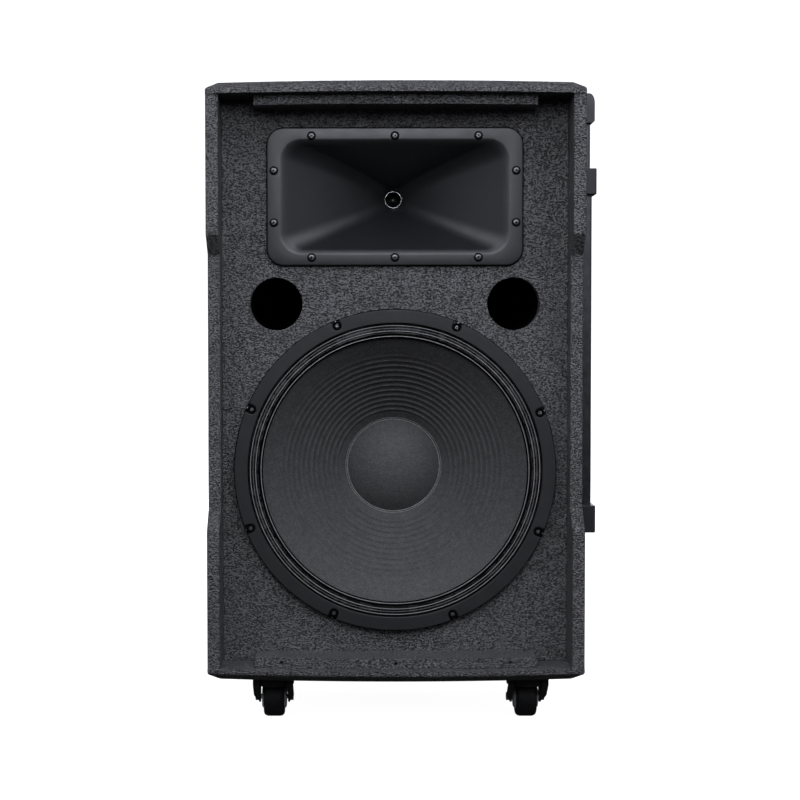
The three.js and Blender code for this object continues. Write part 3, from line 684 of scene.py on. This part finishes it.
def add_rear_panel():
    low, high = REAR_LOW.y, REAR_HIGH.y
    outer = inside_outline()
    holes = []
    for hand in ("left", "right"):
        socket = middle(box_mm(f"{hand}_input_socket"))
        holes.append(circle(socket.x, socket.z, 14, 48))
    panel = piece("rear_panel_painted", plate([outer, *holes], low, high, 0.5), "paint",
                  stands_for=["rear_panel"])
    flatten_shading(panel)


# ---------------------------------------------------------------- horn and ports


def section(depth_share, grow, y):
    """The horn's rounded section at a share of its depth, grown outward."""
    open_share = 1 - depth_share
    half_x = THROAT_RADIUS + (MOUTH_WIDTH / 2 - THROAT_RADIUS) * open_share ** 1.25 + grow
    half_z = THROAT_RADIUS + (MOUTH_HEIGHT / 2 - THROAT_RADIUS) * open_share ** 1.1 + grow
    radius = THROAT_RADIUS + (MOUTH_RADIUS - THROAT_RADIUS) * open_share + grow * 0.999
    radius = min(radius, half_z * 0.999)
    lift = THROAT_LIFT * depth_share
    outline = rounded(HORN.x, HORN.z + lift, 2 * half_x, 2 * half_z, radius, 12)(0)
    return [(x, y, z) for x, z in outline]


FLANGE_OUTLINE = rounded(HORN.x, HORN.z, FLANGE_HIGH.x - FLANGE_LOW.x, FLANGE_HIGH.z - FLANGE_LOW.z,
                         FLANGE_RADIUS, 12)


def flange_ring(inset, y):
    return [(x, y, z) for x, z in FLANGE_OUTLINE(-inset)]


def add_horn():
    front, back = FLANGE_LOW.y, FLANGE_HIGH.y
    depth = back - front
    lip, edge, steps = 4.5, 1.4, 40
    rings = [flange_ring(0, front + FLANGE_THICKNESS)]
    for step in range(5):
        angle = pi / 2 * step / 4
        rings.append(flange_ring(edge * (1 - cos(angle)), front + edge * (1 - sin(angle))))
    for step in range(9):
        angle = pi / 2 * step / 8
        gone = lip * (1 - cos(angle))
        rings.append(section(gone / depth, lip * (1 - sin(angle)) - 0.5, front + gone))
    for step in range(1, steps + 1):
        share = (lip + (depth - lip) * step / steps) / depth
        rings.append(section(share, -0.5 * (1 - share), front + depth * share))
    for step in range(steps + 1):
        share = 1 - (1 - 2 * FLANGE_THICKNESS / depth) * step / steps
        rings.append(section(share, HORN_WALL, front + depth * share))
    rings.append(section(0, HORN_WALL, front + FLANGE_THICKNESS))
    piece("horn_moulding", loft(rings, wrap=True), "horn", stands_for=["horn_flare"], crease=50)

    places = [(HORN.x + x, front, HORN.z + z) for x in (-99.7, 0, 99.7) for z in (-72.5, 72.5)]
    places += [(HORN.x + x, front, HORN.z + z) for x in (-144.8, 144.8) for z in (-31, 31)]
    head_height = 2.2
    piece("horn_screws", screws(places, 3.9, head_height, "front"), "screw")
    # Black rings round the horn screws: painted shadow round the heads.
    piece("horn_screw_head_shadows", head_shadow_rings(places, 3.7, 5.3), "near_black")
    # Dark discs in the horn screws' cross recesses: painted shade.
    piece("horn_screw_recess_shades", recess_shade_discs(places, 1.9, head_height), "near_black")
    # A near-black ring behind the flange, showing 0.9 mm past its edge as a dark outline round it.
    inside = rounded(HORN.x, HORN.z, MOUTH_WIDTH + 14, MOUTH_HEIGHT + 14, MOUTH_RADIUS + 6, 12)
    overhang, rear = 0.9, front + FLANGE_THICKNESS
    rim = [lambda grow: FLANGE_OUTLINE(grow + overhang), inside]
    piece("horn_flange_dark_outline", plate(rim, rear - 1.6, rear + 0.2, 0.3), "near_black")


def add_driver():
    front = box_mm("compression_driver_magnet")[0].y
    centre = (DRIVER.x, 0, DRIVER.z)
    rim, wall, end = 10.3, 10.95, front + 33
    ring = softened([(10, front - 1), (rim, front - 1), (rim, front + 2), (10, front + 2)], 0.1)
    piece("throat_ring", lathe(ring, centre, steps=64), "zinc")
    # A near-black sleeve in the gap between the throat ring and the horn wall: painted shade down the
    # throat.
    bore = softened([(rim, front - 0.6), (wall, front - 0.6), (wall, end), (rim, end)], 0.2)
    piece("throat_gap_shade", lathe(bore, centre, steps=64), "near_black")
    plug = [(0, front + 10), (1.2, front + 10.4), (2.6, front + 13), (5, front + 20),
            (9.5, front + 32), (0, front + 32)]
    piece("phase_plug", lathe(plug, centre, steps=48), "moulding")
    refined("compression_driver_magnet", "ferrite", 0.8)
    refined("compression_driver_cap", "steel", 0.8)


def add_ports():
    for hand, port in zip(("left", "right"), PORTS):
        low, high = box_mm(f"{hand}_port_tube")
        inner, outer = PORT_RADIUS, (high.x - low.x) / 2
        wall = softened([(inner, low.y), (outer, low.y), (outer, high.y), (inner, high.y)], 0.8)
        piece(f"{hand}_port_moulding", lathe(wall, (port.x, 0, port.z)), "port",
              stands_for=[f"{hand}_port_tube"])


# ---------------------------------------------------------------- woofer


def notched_circle(radius, notch_radius, notch):
    """A circle with notches in from its rim, one for each ring screw."""
    def outline(grow):
        rim, half = radius + grow, notch - grow
        reach = sqrt(rim * rim - half * half)
        spread = asin(half / rim)
        points = []
        for number in range(RING_SCREWS):
            centre = RING_SCREW_TURN + tau * number / RING_SCREWS
            following = centre + tau / RING_SCREWS
            local = [(reach, -half)]
            for step in range(13):
                angle = -pi / 2 - pi * step / 12
                local.append((notch_radius + half * cos(angle), half * sin(angle)))
            local.append((reach, half))
            for out, along in local:
                points.append((out * cos(centre) - along * sin(centre),
                               out * sin(centre) + along * cos(centre)))
            for step in range(1, 24):
                angle = centre + spread + (following - centre - 2 * spread) * step / 24
                points.append((rim * cos(angle), rim * sin(angle)))
        return [(WOOFER.x + a, WOOFER.z + b) for a, b in points]
    return outline


def ring_places(radius, y):
    turns = [RING_SCREW_TURN + tau * i / RING_SCREWS for i in range(RING_SCREWS)]
    return [(WOOFER.x + radius * cos(t), y, WOOFER.z + radius * sin(t)) for t in turns]


def add_woofer_ring():
    low, high = RING_LOW.y, RING_HIGH.y
    outlines = [notched_circle(RING_OUTER, RING_SCREW_RADIUS, 5.4),
                circle(WOOFER.x, WOOFER.z, RING_INNER, 192)]
    ring = piece("gasket_ring_rubber", plate(outlines, low, high, 1.0), "gasket",
                 stands_for=["woofer_gasket_ring"])
    flatten_shading(ring)
    # A near-black disc where the frame's flange lies, 1 mm wider than the gasket ring: a painted shadow
    # line round the ring and dark fill in its notches.
    hole, rim, face, rear = 164, RING_OUTER + 1, high + 0.3, high + 2.9
    shadow_line_profile = softened([(hole, face), (rim, face), (rim, rear), (hole, rear)], 0.6)
    piece("woofer_ring_shadow_line", lathe(shadow_line_profile, (WOOFER.x, 0, WOOFER.z), steps=192), "near_black")
    repaint("woofer_basket", "steel")
    places = ring_places(RING_SCREW_RADIUS, high)
    head_height = 3.2
    piece("woofer_screws", screws(places, 2.7, head_height, "front"), "zinc")
    # Dark discs in the woofer screws' cross recesses: painted shade.
    piece("woofer_screw_recess_shades", recess_shade_discs(places, 1.4, head_height), "near_black")
    # Near-black rings filling the notches round the woofer screws: painted shade, the dark of the holes
    # round the heads.
    inner, outer, top, foot = 3.4, 5.2, low - 0.2, high + 0.5
    hole_shade_profile = softened([(inner, top), (outer, top), (outer, foot), (inner, foot)], 0.2)
    hole_shade_shapes = [lathe(hole_shade_profile, (x, 0, z), steps=40) for x, _, z in places]
    piece("woofer_screw_hole_shades", merged(hole_shade_shapes), "near_black")
    lugs = []
    for x, y, z in ring_places(RING_SCREW_RADIUS + 5.4, high):
        lugs.append(lathe([(0, y - 1.2), (0.8, y - 1.2), (1.1, y - 0.8), (1.1, y + 1), (0, y + 1)],
                          (x, 0, z), steps=20))
    piece("woofer_frame_lugs", merged(lugs), "zinc")


def cone_depth(radius):
    """Where the front of the cone lies: a gentle curve from its rim to the dust cap."""
    share = (CONE_RADIUS - radius) / (CONE_RADIUS - CAP_RADIUS)
    return CONE_FRONT + (CONE_BACK - CONE_FRONT) * (share + 0.06 * sin(pi * share))


def rib(radius):
    """The height of the cone's narrow concentric ribs at a radius."""
    first, last, pitch, height = 64, 144, 6.1, 1.3
    if not first < radius < last:
        return 0
    fade = min(1, (radius - first) / 6, (last - radius) / 16)
    crest = (0.5 + 0.5 * cos(tau * (radius - first) / pitch)) ** 2
    return height * fade * crest


def add_cone():
    centre = (WOOFER.x, 0, WOOFER.z)
    wall, inner, step_size = 1.2, CAP_RADIUS - 2, 0.5
    count = int((CONE_RADIUS - inner) / step_size)
    radii = [CONE_RADIUS - (CONE_RADIUS - inner) * i / count for i in range(count + 1)]
    front = [(r, cone_depth(r) - rib(r)) for r in radii]
    back = [(r, cone_depth(r) + wall) for r in reversed(radii)]
    piece("cone_paper_shell", lathe(front + back, centre, steps=224), "cone", "woofer_moving",
          ["woofer_cone"], crease=60)
    neck = box_mm("voice_coil")[0].y
    coil_radius = 39.5
    throat = [(inner + 2, cone_depth(inner) - 0.3), (coil_radius, neck + 1), (coil_radius, neck + 3),
              (inner + 2, cone_depth(inner) + 2)]
    piece("cone_throat", lathe(throat, centre), "cone", "woofer_moving")

    rim = CAP_RADIUS - 0.4
    sphere = (rim * rim + CAP_HEIGHT ** 2) / (2 * CAP_HEIGHT)
    rim_y = cone_depth(CAP_RADIUS) - 0.6
    dome = []
    for shrink in (0, 0.8):
        arc = []
        for step in range(41):
            angle = asin(rim / sphere) * step / 40
            y = rim_y - CAP_HEIGHT + sphere - (sphere - shrink) * cos(angle)
            arc.append(((sphere - shrink) * sin(angle), y))
        dome += arc if shrink == 0 else arc[::-1]
    piece("dust_cap_dome", lathe(dome, centre, steps=160), "cap", "woofer_moving", ["dust_cap"], 60)

    beads = []
    for radius, thick in ((CAP_RADIUS + 0.2, 0.5), (CAP_RADIUS + 2.2, 0.25)):
        loop = []
        for i in range(10):
            a, b = thick * cos(tau * i / 10), thick * sin(tau * i / 10)
            loop.append((radius + a, cone_depth(radius) - 0.2 + b))
        beads.append(lathe(loop, centre, steps=160))
    piece("dust_cap_glue", merged(beads), "glue", "woofer_moving")


def add_surround():
    """Pleated cloth between the cone and the frame: sharp flat-topped ridges over deep folds."""
    centre = (WOOFER.x, 0, WOOFER.z)
    inner, outer, wall, depth = CONE_RADIUS - 1.5, RING_INNER + 2, 0.5, 2.6
    seat, hem = RING_HIGH.y - 1.0, CONE_FRONT - 0.7
    # A fold as (millimetres across, share of the depth down).
    pleat = [(-0.5, 0), (0.5, 0), (1.7, 1), (3.0, 0.5), (3.4, 0.5), (4.7, 1)]
    pitch, first_ridge, ridges = 6.35, 161.2, 3
    line = [(inner, 0.3)]
    for number in range(ridges):
        line += [(first_ridge + pitch * number + across, down) for across, down in pleat]
    line = [point for point in line if point[0] < outer - 1] + [(outer, 0.2)]
    line = softened(line, 0.45, closed=False, steps=3)[::-1]
    front = []
    for radius, down in line:
        share = (outer - radius) / (outer - inner)
        front.append((radius, seat + (hem - seat) * share + depth * (down - 0.5)))
    back = [(radius, y + wall) for radius, y in reversed(front)]
    cloth = piece("surround_cloth", lathe(front + back, centre, steps=224), "surround", None,
                  ["woofer_surround"], crease=70)
    # Pale beads along the crests and the small bumps between: painted highlight lines where light
    # catches the folds.
    beads = []
    for number in range(ridges):
        for across, size, down in ((0, 0.45, 0), (3.2, 0.2, 0.5)):
            radius = first_ridge + pitch * number + across
            if radius > RING_INNER - 0.6:
                continue
            level = seat + (hem - seat) * (outer - radius) / (outer - inner) + depth * (down - 0.5)
            loop = [(radius + size * cos(tau * i / 10), level + size * (sin(tau * i / 10) - 0.6))
                    for i in range(10)]
            beads.append(lathe(loop, centre, steps=224))
    highlight_beads = piece("surround_crest_highlights", merged(beads), "ridge", None)
    for part in (cloth, highlight_beads):
        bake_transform(part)


def add_motor():
    for node, look in (("woofer_top_plate", "zinc"), ("woofer_magnet", "ferrite"),
                       ("woofer_pole_and_back_plate", "zinc"), ("voice_coil", "former")):
        repaint(node, look)
    low, high = box_mm("woofer_spider")
    inner, outer, ripples, thick = 39.8, (high.x - low.x) / 2, 6, 0.5
    line = []
    for step in range(73):
        wave = 0.5 + 0.5 * cos(tau * ripples * step / 72)
        line.append((inner + (outer - inner) * step / 72, low.y + (high.y - low.y - thick) * wave))
    cloth = line + [(radius, y + thick) for radius, y in reversed(line)]
    piece("spider_cloth", lathe(cloth, (WOOFER.x, 0, WOOFER.z)), "spider",
          stands_for=["woofer_spider"], crease=60)


# ---------------------------------------------------------------- electrics


def add_input():
    low, high = box_mm("input_plate")
    sockets = {hand: middle(box_mm(f"{hand}_input_socket")) for hand in ("left", "right")}
    centre = (low + high) / 2
    outer = rounded(centre.x, centre.z, high.x - low.x, high.z - low.z, 6)
    holes = [circle(place.x, place.z, 13, 64) for place in sockets.values()]
    flatten_shading(piece("input_plate_coated", plate([outer, *holes], low.y, high.y, 0.5), "steel",
                          stands_for=["input_plate"]))
    corners = [(centre.x + x, high.y, centre.z + z) for x in (-57, 57) for z in (-47, 47)]
    piece("input_plate_screws", screws(corners, 3.6, 2.0, "rear"), "screw")
    for hand, place in sockets.items():
        face = box_mm(f"{hand}_input_socket")[1].y
        refined(f"{hand}_input_socket", "moulding", 0.5)
        post = softened([(0, face - 15), (5, face - 15), (5, face - 2.5), (0, face - 2.5)], 0.6)
        post[0], post[-1] = (0, face - 15), (0, face - 2.5)
        piece(f"{hand}_socket_post", lathe(post, (place.x, 0, place.z), steps=48), "moulding")
        fixings = [(place.x + x, face - 0.2, place.z + z) for x, z in ((-12, 16), (12, -16))]
        piece(f"{hand}_socket_screws", screws(fixings, 2.6, 1.2, "rear"), "screw")


def add_crossover():
    refined("crossover_board", "board", 0.2)
    refined("crossover_inductor", "copper", 0.8)
    refined("crossover_capacitor", "film", 0.8)
    refined("front_to_rear_brace", "plywood", 0.6)


# ---------------------------------------------------------------- casters


def add_caster(end, hand):
    place = f"{end}_{hand}"
    tyre_low, tyre_high = box_mm(f"{place}_caster_tyre")
    hub_low, hub_high = box_mm(f"{place}_caster_hub")
    plate_low, plate_high = box_mm(f"{place}_caster_plate")
    centre = (tyre_low + tyre_high) / 2
    half, radius = (tyre_high.x - tyre_low.x) / 2, (tyre_high.z - tyre_low.z) / 2
    hub_half, hub_radius = (hub_high.x - hub_low.x) / 2, (hub_high.z - hub_low.z) / 2
    wheel = f"{place}_wheel"
    seat = (centre.x, centre.y, centre.z)

    tread = softened([
        (hub_radius + 0.2, -half), (radius - 2.5, -half), (radius, -half + 4), (radius, half - 4),
        (radius - 2.5, half), (hub_radius + 0.2, half),
    ], 2.2)
    piece(f"{place}_tyre_rubber", lathe(tread, seat, "x", 96), "tyre", wheel,
          [f"{place}_caster_tyre"], crease=50)
    face = hub_radius - 2.6
    bore, groove = 3.4, 1.4
    core = softened([
        (bore, -hub_half), (6.5, -hub_half), (7.2, -hub_half + groove), (9.2, -hub_half + groove),
        (10, -hub_half), (face, -hub_half), (hub_radius, -half), (hub_radius, half),
        (face, hub_half), (10, hub_half), (9.2, hub_half - groove), (7.2, hub_half - groove),
        (6.5, hub_half), (bore, hub_half),
    ], 0.5)
    piece(f"{place}_hub_moulding", lathe(core, seat, "x", 72), "hub", wheel,
          [f"{place}_caster_hub"])
    refined(f"{place}_caster_fork", "steel", 0.35, crease=32)
    refined(f"{place}_caster_axle", "zinc", 0.35, crease=32)
    refined(f"{place}_caster_plate", "zinc", 0.35, crease=32)
    middle_x, middle_y = (plate_low.x + plate_high.x) / 2, (plate_low.y + plate_high.y) / 2
    plate_thickness, reach = 2.5, 22.5
    under = plate_high.z - plate_thickness
    corners = [(middle_x + x, middle_y + y, under)
               for x in (-reach, reach) for y in (-reach, reach)]
    piece(f"{place}_plate_screws", screws(corners, 3.4, 1.6, "below"), "zinc")


# ---------------------------------------------------------------- trolley handle

SCREW_FROM_TUBE, SINK_DEPTH, SINK_RADIUS = 26, 2.4, 4.4


def add_trolley():
    foot_low, foot_high = box_mm("trolley_foot_bracket")
    collar_low, collar_high = box_mm("trolley_collar_bracket")
    grip_low, grip_high = box_mm("trolley_grip")
    tubes = {end: middle(box_mm(f"trolley_inner_tube_{end}")) for end in ("front", "rear")}
    screw_places = [tubes["front"].y + SCREW_FROM_TUBE, tubes["rear"].y - SCREW_FROM_TUBE]

    for node, low, high in (("trolley_foot_bracket", foot_low, foot_high),
                            ("trolley_collar_bracket", collar_low, collar_high)):
        centre = (low + high) / 2
        outer = rounded(centre.x, centre.y, high.x - low.x, high.y - low.y, 2.5)
        holes = []
        if node == "trolley_collar_bracket":
            holes = [rounded(tube.x, tube.y, 15.4, 15.4, 3) for tube in tubes.values()]
        block = plate([outer, *holes], low.z, high.z, 1.0, "top")
        bottom = high.x - SINK_DEPTH
        bore = [(0, bottom), (SINK_RADIUS, bottom), (SINK_RADIUS, high.x + 2), (0, high.x + 2)]
        sinks = [lathe(bore, (0, y, centre.z), "x", 40) for y in screw_places]
        flatten_shading(piece(f"{node}_moulding", carved(block, sinks), "trolley", stands_for=[node]))
        heads = [(bottom, y, centre.z) for y in screw_places]
        piece(f"{node}_screws", screws(heads, 3.8, 1.8, "right"), "screw")

    for kind, body, hole in (("outer", "root", 16), ("inner", "trolley", 11.8)):
        for end, tube in tubes.items():
            node = f"trolley_{kind}_tube_{end}"
            low, high = box_mm(node)
            size = high.x - low.x
            outlines = [rounded(tube.x, tube.y, size, size, 3), rounded(tube.x, tube.y, hole, hole, 2)]
            flatten_shading(piece(f"{node}_anodised", plate(outlines, low.z, high.z, 0.3, "top"),
                                  "tube", body, [node]))

    add_grip(grip_low, grip_high)


def add_grip(low, high):
    corner_x, corner_z, lower = 6.5, 12, 2
    profile = [(low.x, low.z), (high.x - lower, low.z), (high.x, low.z + lower)]
    for step in range(13):
        angle = pi / 2 * step / 12
        profile.append((high.x - corner_x + corner_x * cos(angle),
                        high.z - corner_z + corner_z * sin(angle)))
    profile.append((low.x, high.z))
    grip = prism(profile, low.y, high.y, "front")
    button_low, button_high = box_mm("trolley_release_button")
    centre = (button_low + button_high) / 2
    width, length = button_high.x - button_low.x, button_high.y - button_low.y
    outline = rounded(centre.x, centre.y, width + 0.6, length + 0.6, 4.3)(0)
    pocket = prism(outline, button_low.z - 3.6, high.z + 5, "top")
    body = piece("trolley_grip_moulding", carved(grip, [pocket]), "trolley", "trolley",
                 ["trolley_grip"], crease=32)
    soften(body, 0.8, 3, 32)
    outline = rounded(centre.x, centre.y, width, length, 4)
    button = piece("release_button_cap", plate([outline], button_low.z, button_high.z, 0.7, "top"),
                   "button", "release_button", ["trolley_release_button"])
    flatten_shading(button)


# ---------------------------------------------------------------- build

add_bowed_panels()
add_side_panels()
add_baffle()
add_battens()
add_rear_panel()
add_horn()
add_driver()
add_ports()
add_woofer_ring()
add_cone()
add_surround()
add_motor()
add_input()
add_crossover()
for end in ("front", "rear"):
    for hand in ("left", "right"):
        add_caster(end, hand)
add_trolley()

# ---------------------------------------------------------------- studio

scene = bpy.context.scene
scene.view_settings.view_transform = "Standard"


def plain(name, colour, glow):
    material = bpy.data.materials.new(name)
    material.use_nodes = True
    shader = material.node_tree.nodes["Principled BSDF"]
    shader.inputs["Base Color"].default_value = (*colour, 1)
    shader.inputs["Roughness"].default_value = 0.9
    shader.inputs["Specular IOR Level"].default_value = 0.1
    shader.inputs["Emission Color"].default_value = (1, 1, 1, 1)
    shader.inputs["Emission Strength"].default_value = glow
    return material


def glowing_floor():
    """White, and glowing a little less round the cabinet: painted shade over the spot where its soft
    shadow falls.
    """
    material = plain("pale_floor", (0.45, 0.45, 0.45), 1)
    nodes, links = material.node_tree.nodes, material.node_tree.links
    place = nodes.new("ShaderNodeTexCoord")
    reach = nodes.new("ShaderNodeVectorMath")
    reach.operation = "LENGTH"
    # Painted shade: the glow drops a little near the cabinet.
    fade = nodes.new("ShaderNodeMapRange")
    fade.interpolation_type = "SMOOTHSTEP"
    fade.inputs["From Min"].default_value = 0.2
    fade.inputs["From Max"].default_value = 0.9
    fade.inputs["To Min"].default_value = 0.97
    fade.inputs["To Max"].default_value = 1.0
    links.new(place.outputs["Object"], reach.inputs[0])
    links.new(reach.outputs["Value"], fade.inputs["Value"])
    links.new(fade.outputs["Result"], nodes["Principled BSDF"].inputs["Emission Strength"])
    return material


def sheet(name, corners, material):
    mesh = bpy.data.meshes.new(name)
    mesh.from_pydata(corners, [], [tuple(range(len(corners)))])
    mesh.materials.append(material)
    obj = bpy.data.objects.new(name, mesh)
    obj.visible_diffuse = False
    obj.visible_glossy = False
    scene.collection.objects.link(obj)


def add_stage():
    ground = CAD_BOX[0].z
    wide, near, far, tall = 6, -6, 6, 3
    sheet("floor", [(-wide, near, ground), (wide, near, ground), (wide, far, ground),
                    (-wide, far, ground)], glowing_floor())
    sheet("backdrop", [(-wide, far, ground), (wide, far, ground), (wide, far, tall),
                       (-wide, far, tall)], plain("white_backdrop", (0.9, 0.9, 0.9), 1.0))


def area_light(name, place, target, width, height, watts):
    data = bpy.data.lights.new(name, "AREA")
    data.shape = "RECTANGLE"
    data.size, data.size_y = width, height
    data.energy = watts
    data.color = (0.93, 0.95, 1.04)
    light = bpy.data.objects.new(name, data)
    light.location = place
    light.rotation_euler = (Vector(target) - Vector(place)).to_track_quat("-Z", "Y").to_euler()
    light.visible_camera = False
    scene.collection.objects.link(light)


def add_lights():
    """A white surround for the eye, a faint one for the light, and eight softboxes."""
    world = bpy.data.worlds.new("studio")
    scene.world = world
    world.use_nodes = True
    nodes, links = world.node_tree.nodes, world.node_tree.links
    sky = nodes["Background"]
    sky.inputs["Color"].default_value = (1, 1, 1, 1)
    path = nodes.new("ShaderNodeLightPath")
    glow = nodes.new("ShaderNodeMapRange")
    glow.inputs["To Min"].default_value = 0.03
    glow.inputs["To Max"].default_value = 1.0
    links.new(path.outputs["Is Camera Ray"], glow.inputs["Value"])
    links.new(glow.outputs["Result"], sky.inputs["Strength"])
    front = ORIGIN.y
    area_light("overhead_softbox", (0, front - 0.9, 2.3), (0, front + 0.05, 0.35), 3.0, 1.8, 35)
    area_light("front_softbox", (0, front - 3.1, 1.9), (0, front, 0.8), 5.0, 1.9, 44)
    area_light("key_softbox", (0, front - 1.0, 1.02), (0, front, 0.6), 0.5, 0.4, 8)
    for side, watts in ((-1, 18), (1, 21)):
        area_light(f"side_softbox_{side}", (side * 1.9, -1.0, 1.2), (0, front, 0.5), 1.4, 1.4, 6)
        area_light(f"corner_softbox_{side}", (side * 1.5, front - 1.3, 2.1), (0, front, 0.5),
                   1.0, 1.0, watts)
    area_light("rear_softbox", (0, 2.6, 1.5), (0, 0, 0.4), 1.6, 1.2, 40)


def add_camera():
    data = bpy.data.cameras.new("camera")
    data.sensor_width = 36
    data.lens = 71.1
    data.shift_x, data.shift_y = 0.0625, -0.00375
    camera = bpy.data.objects.new("camera", data)
    camera.location = spot(-45, -1850, 401.6)
    camera.rotation_euler = (radians(87.97), radians(0.07), radians(0.27))
    scene.collection.objects.link(camera)
    scene.camera = camera


add_stage()
add_lights()
add_camera()

bpy.context.view_layer.update()
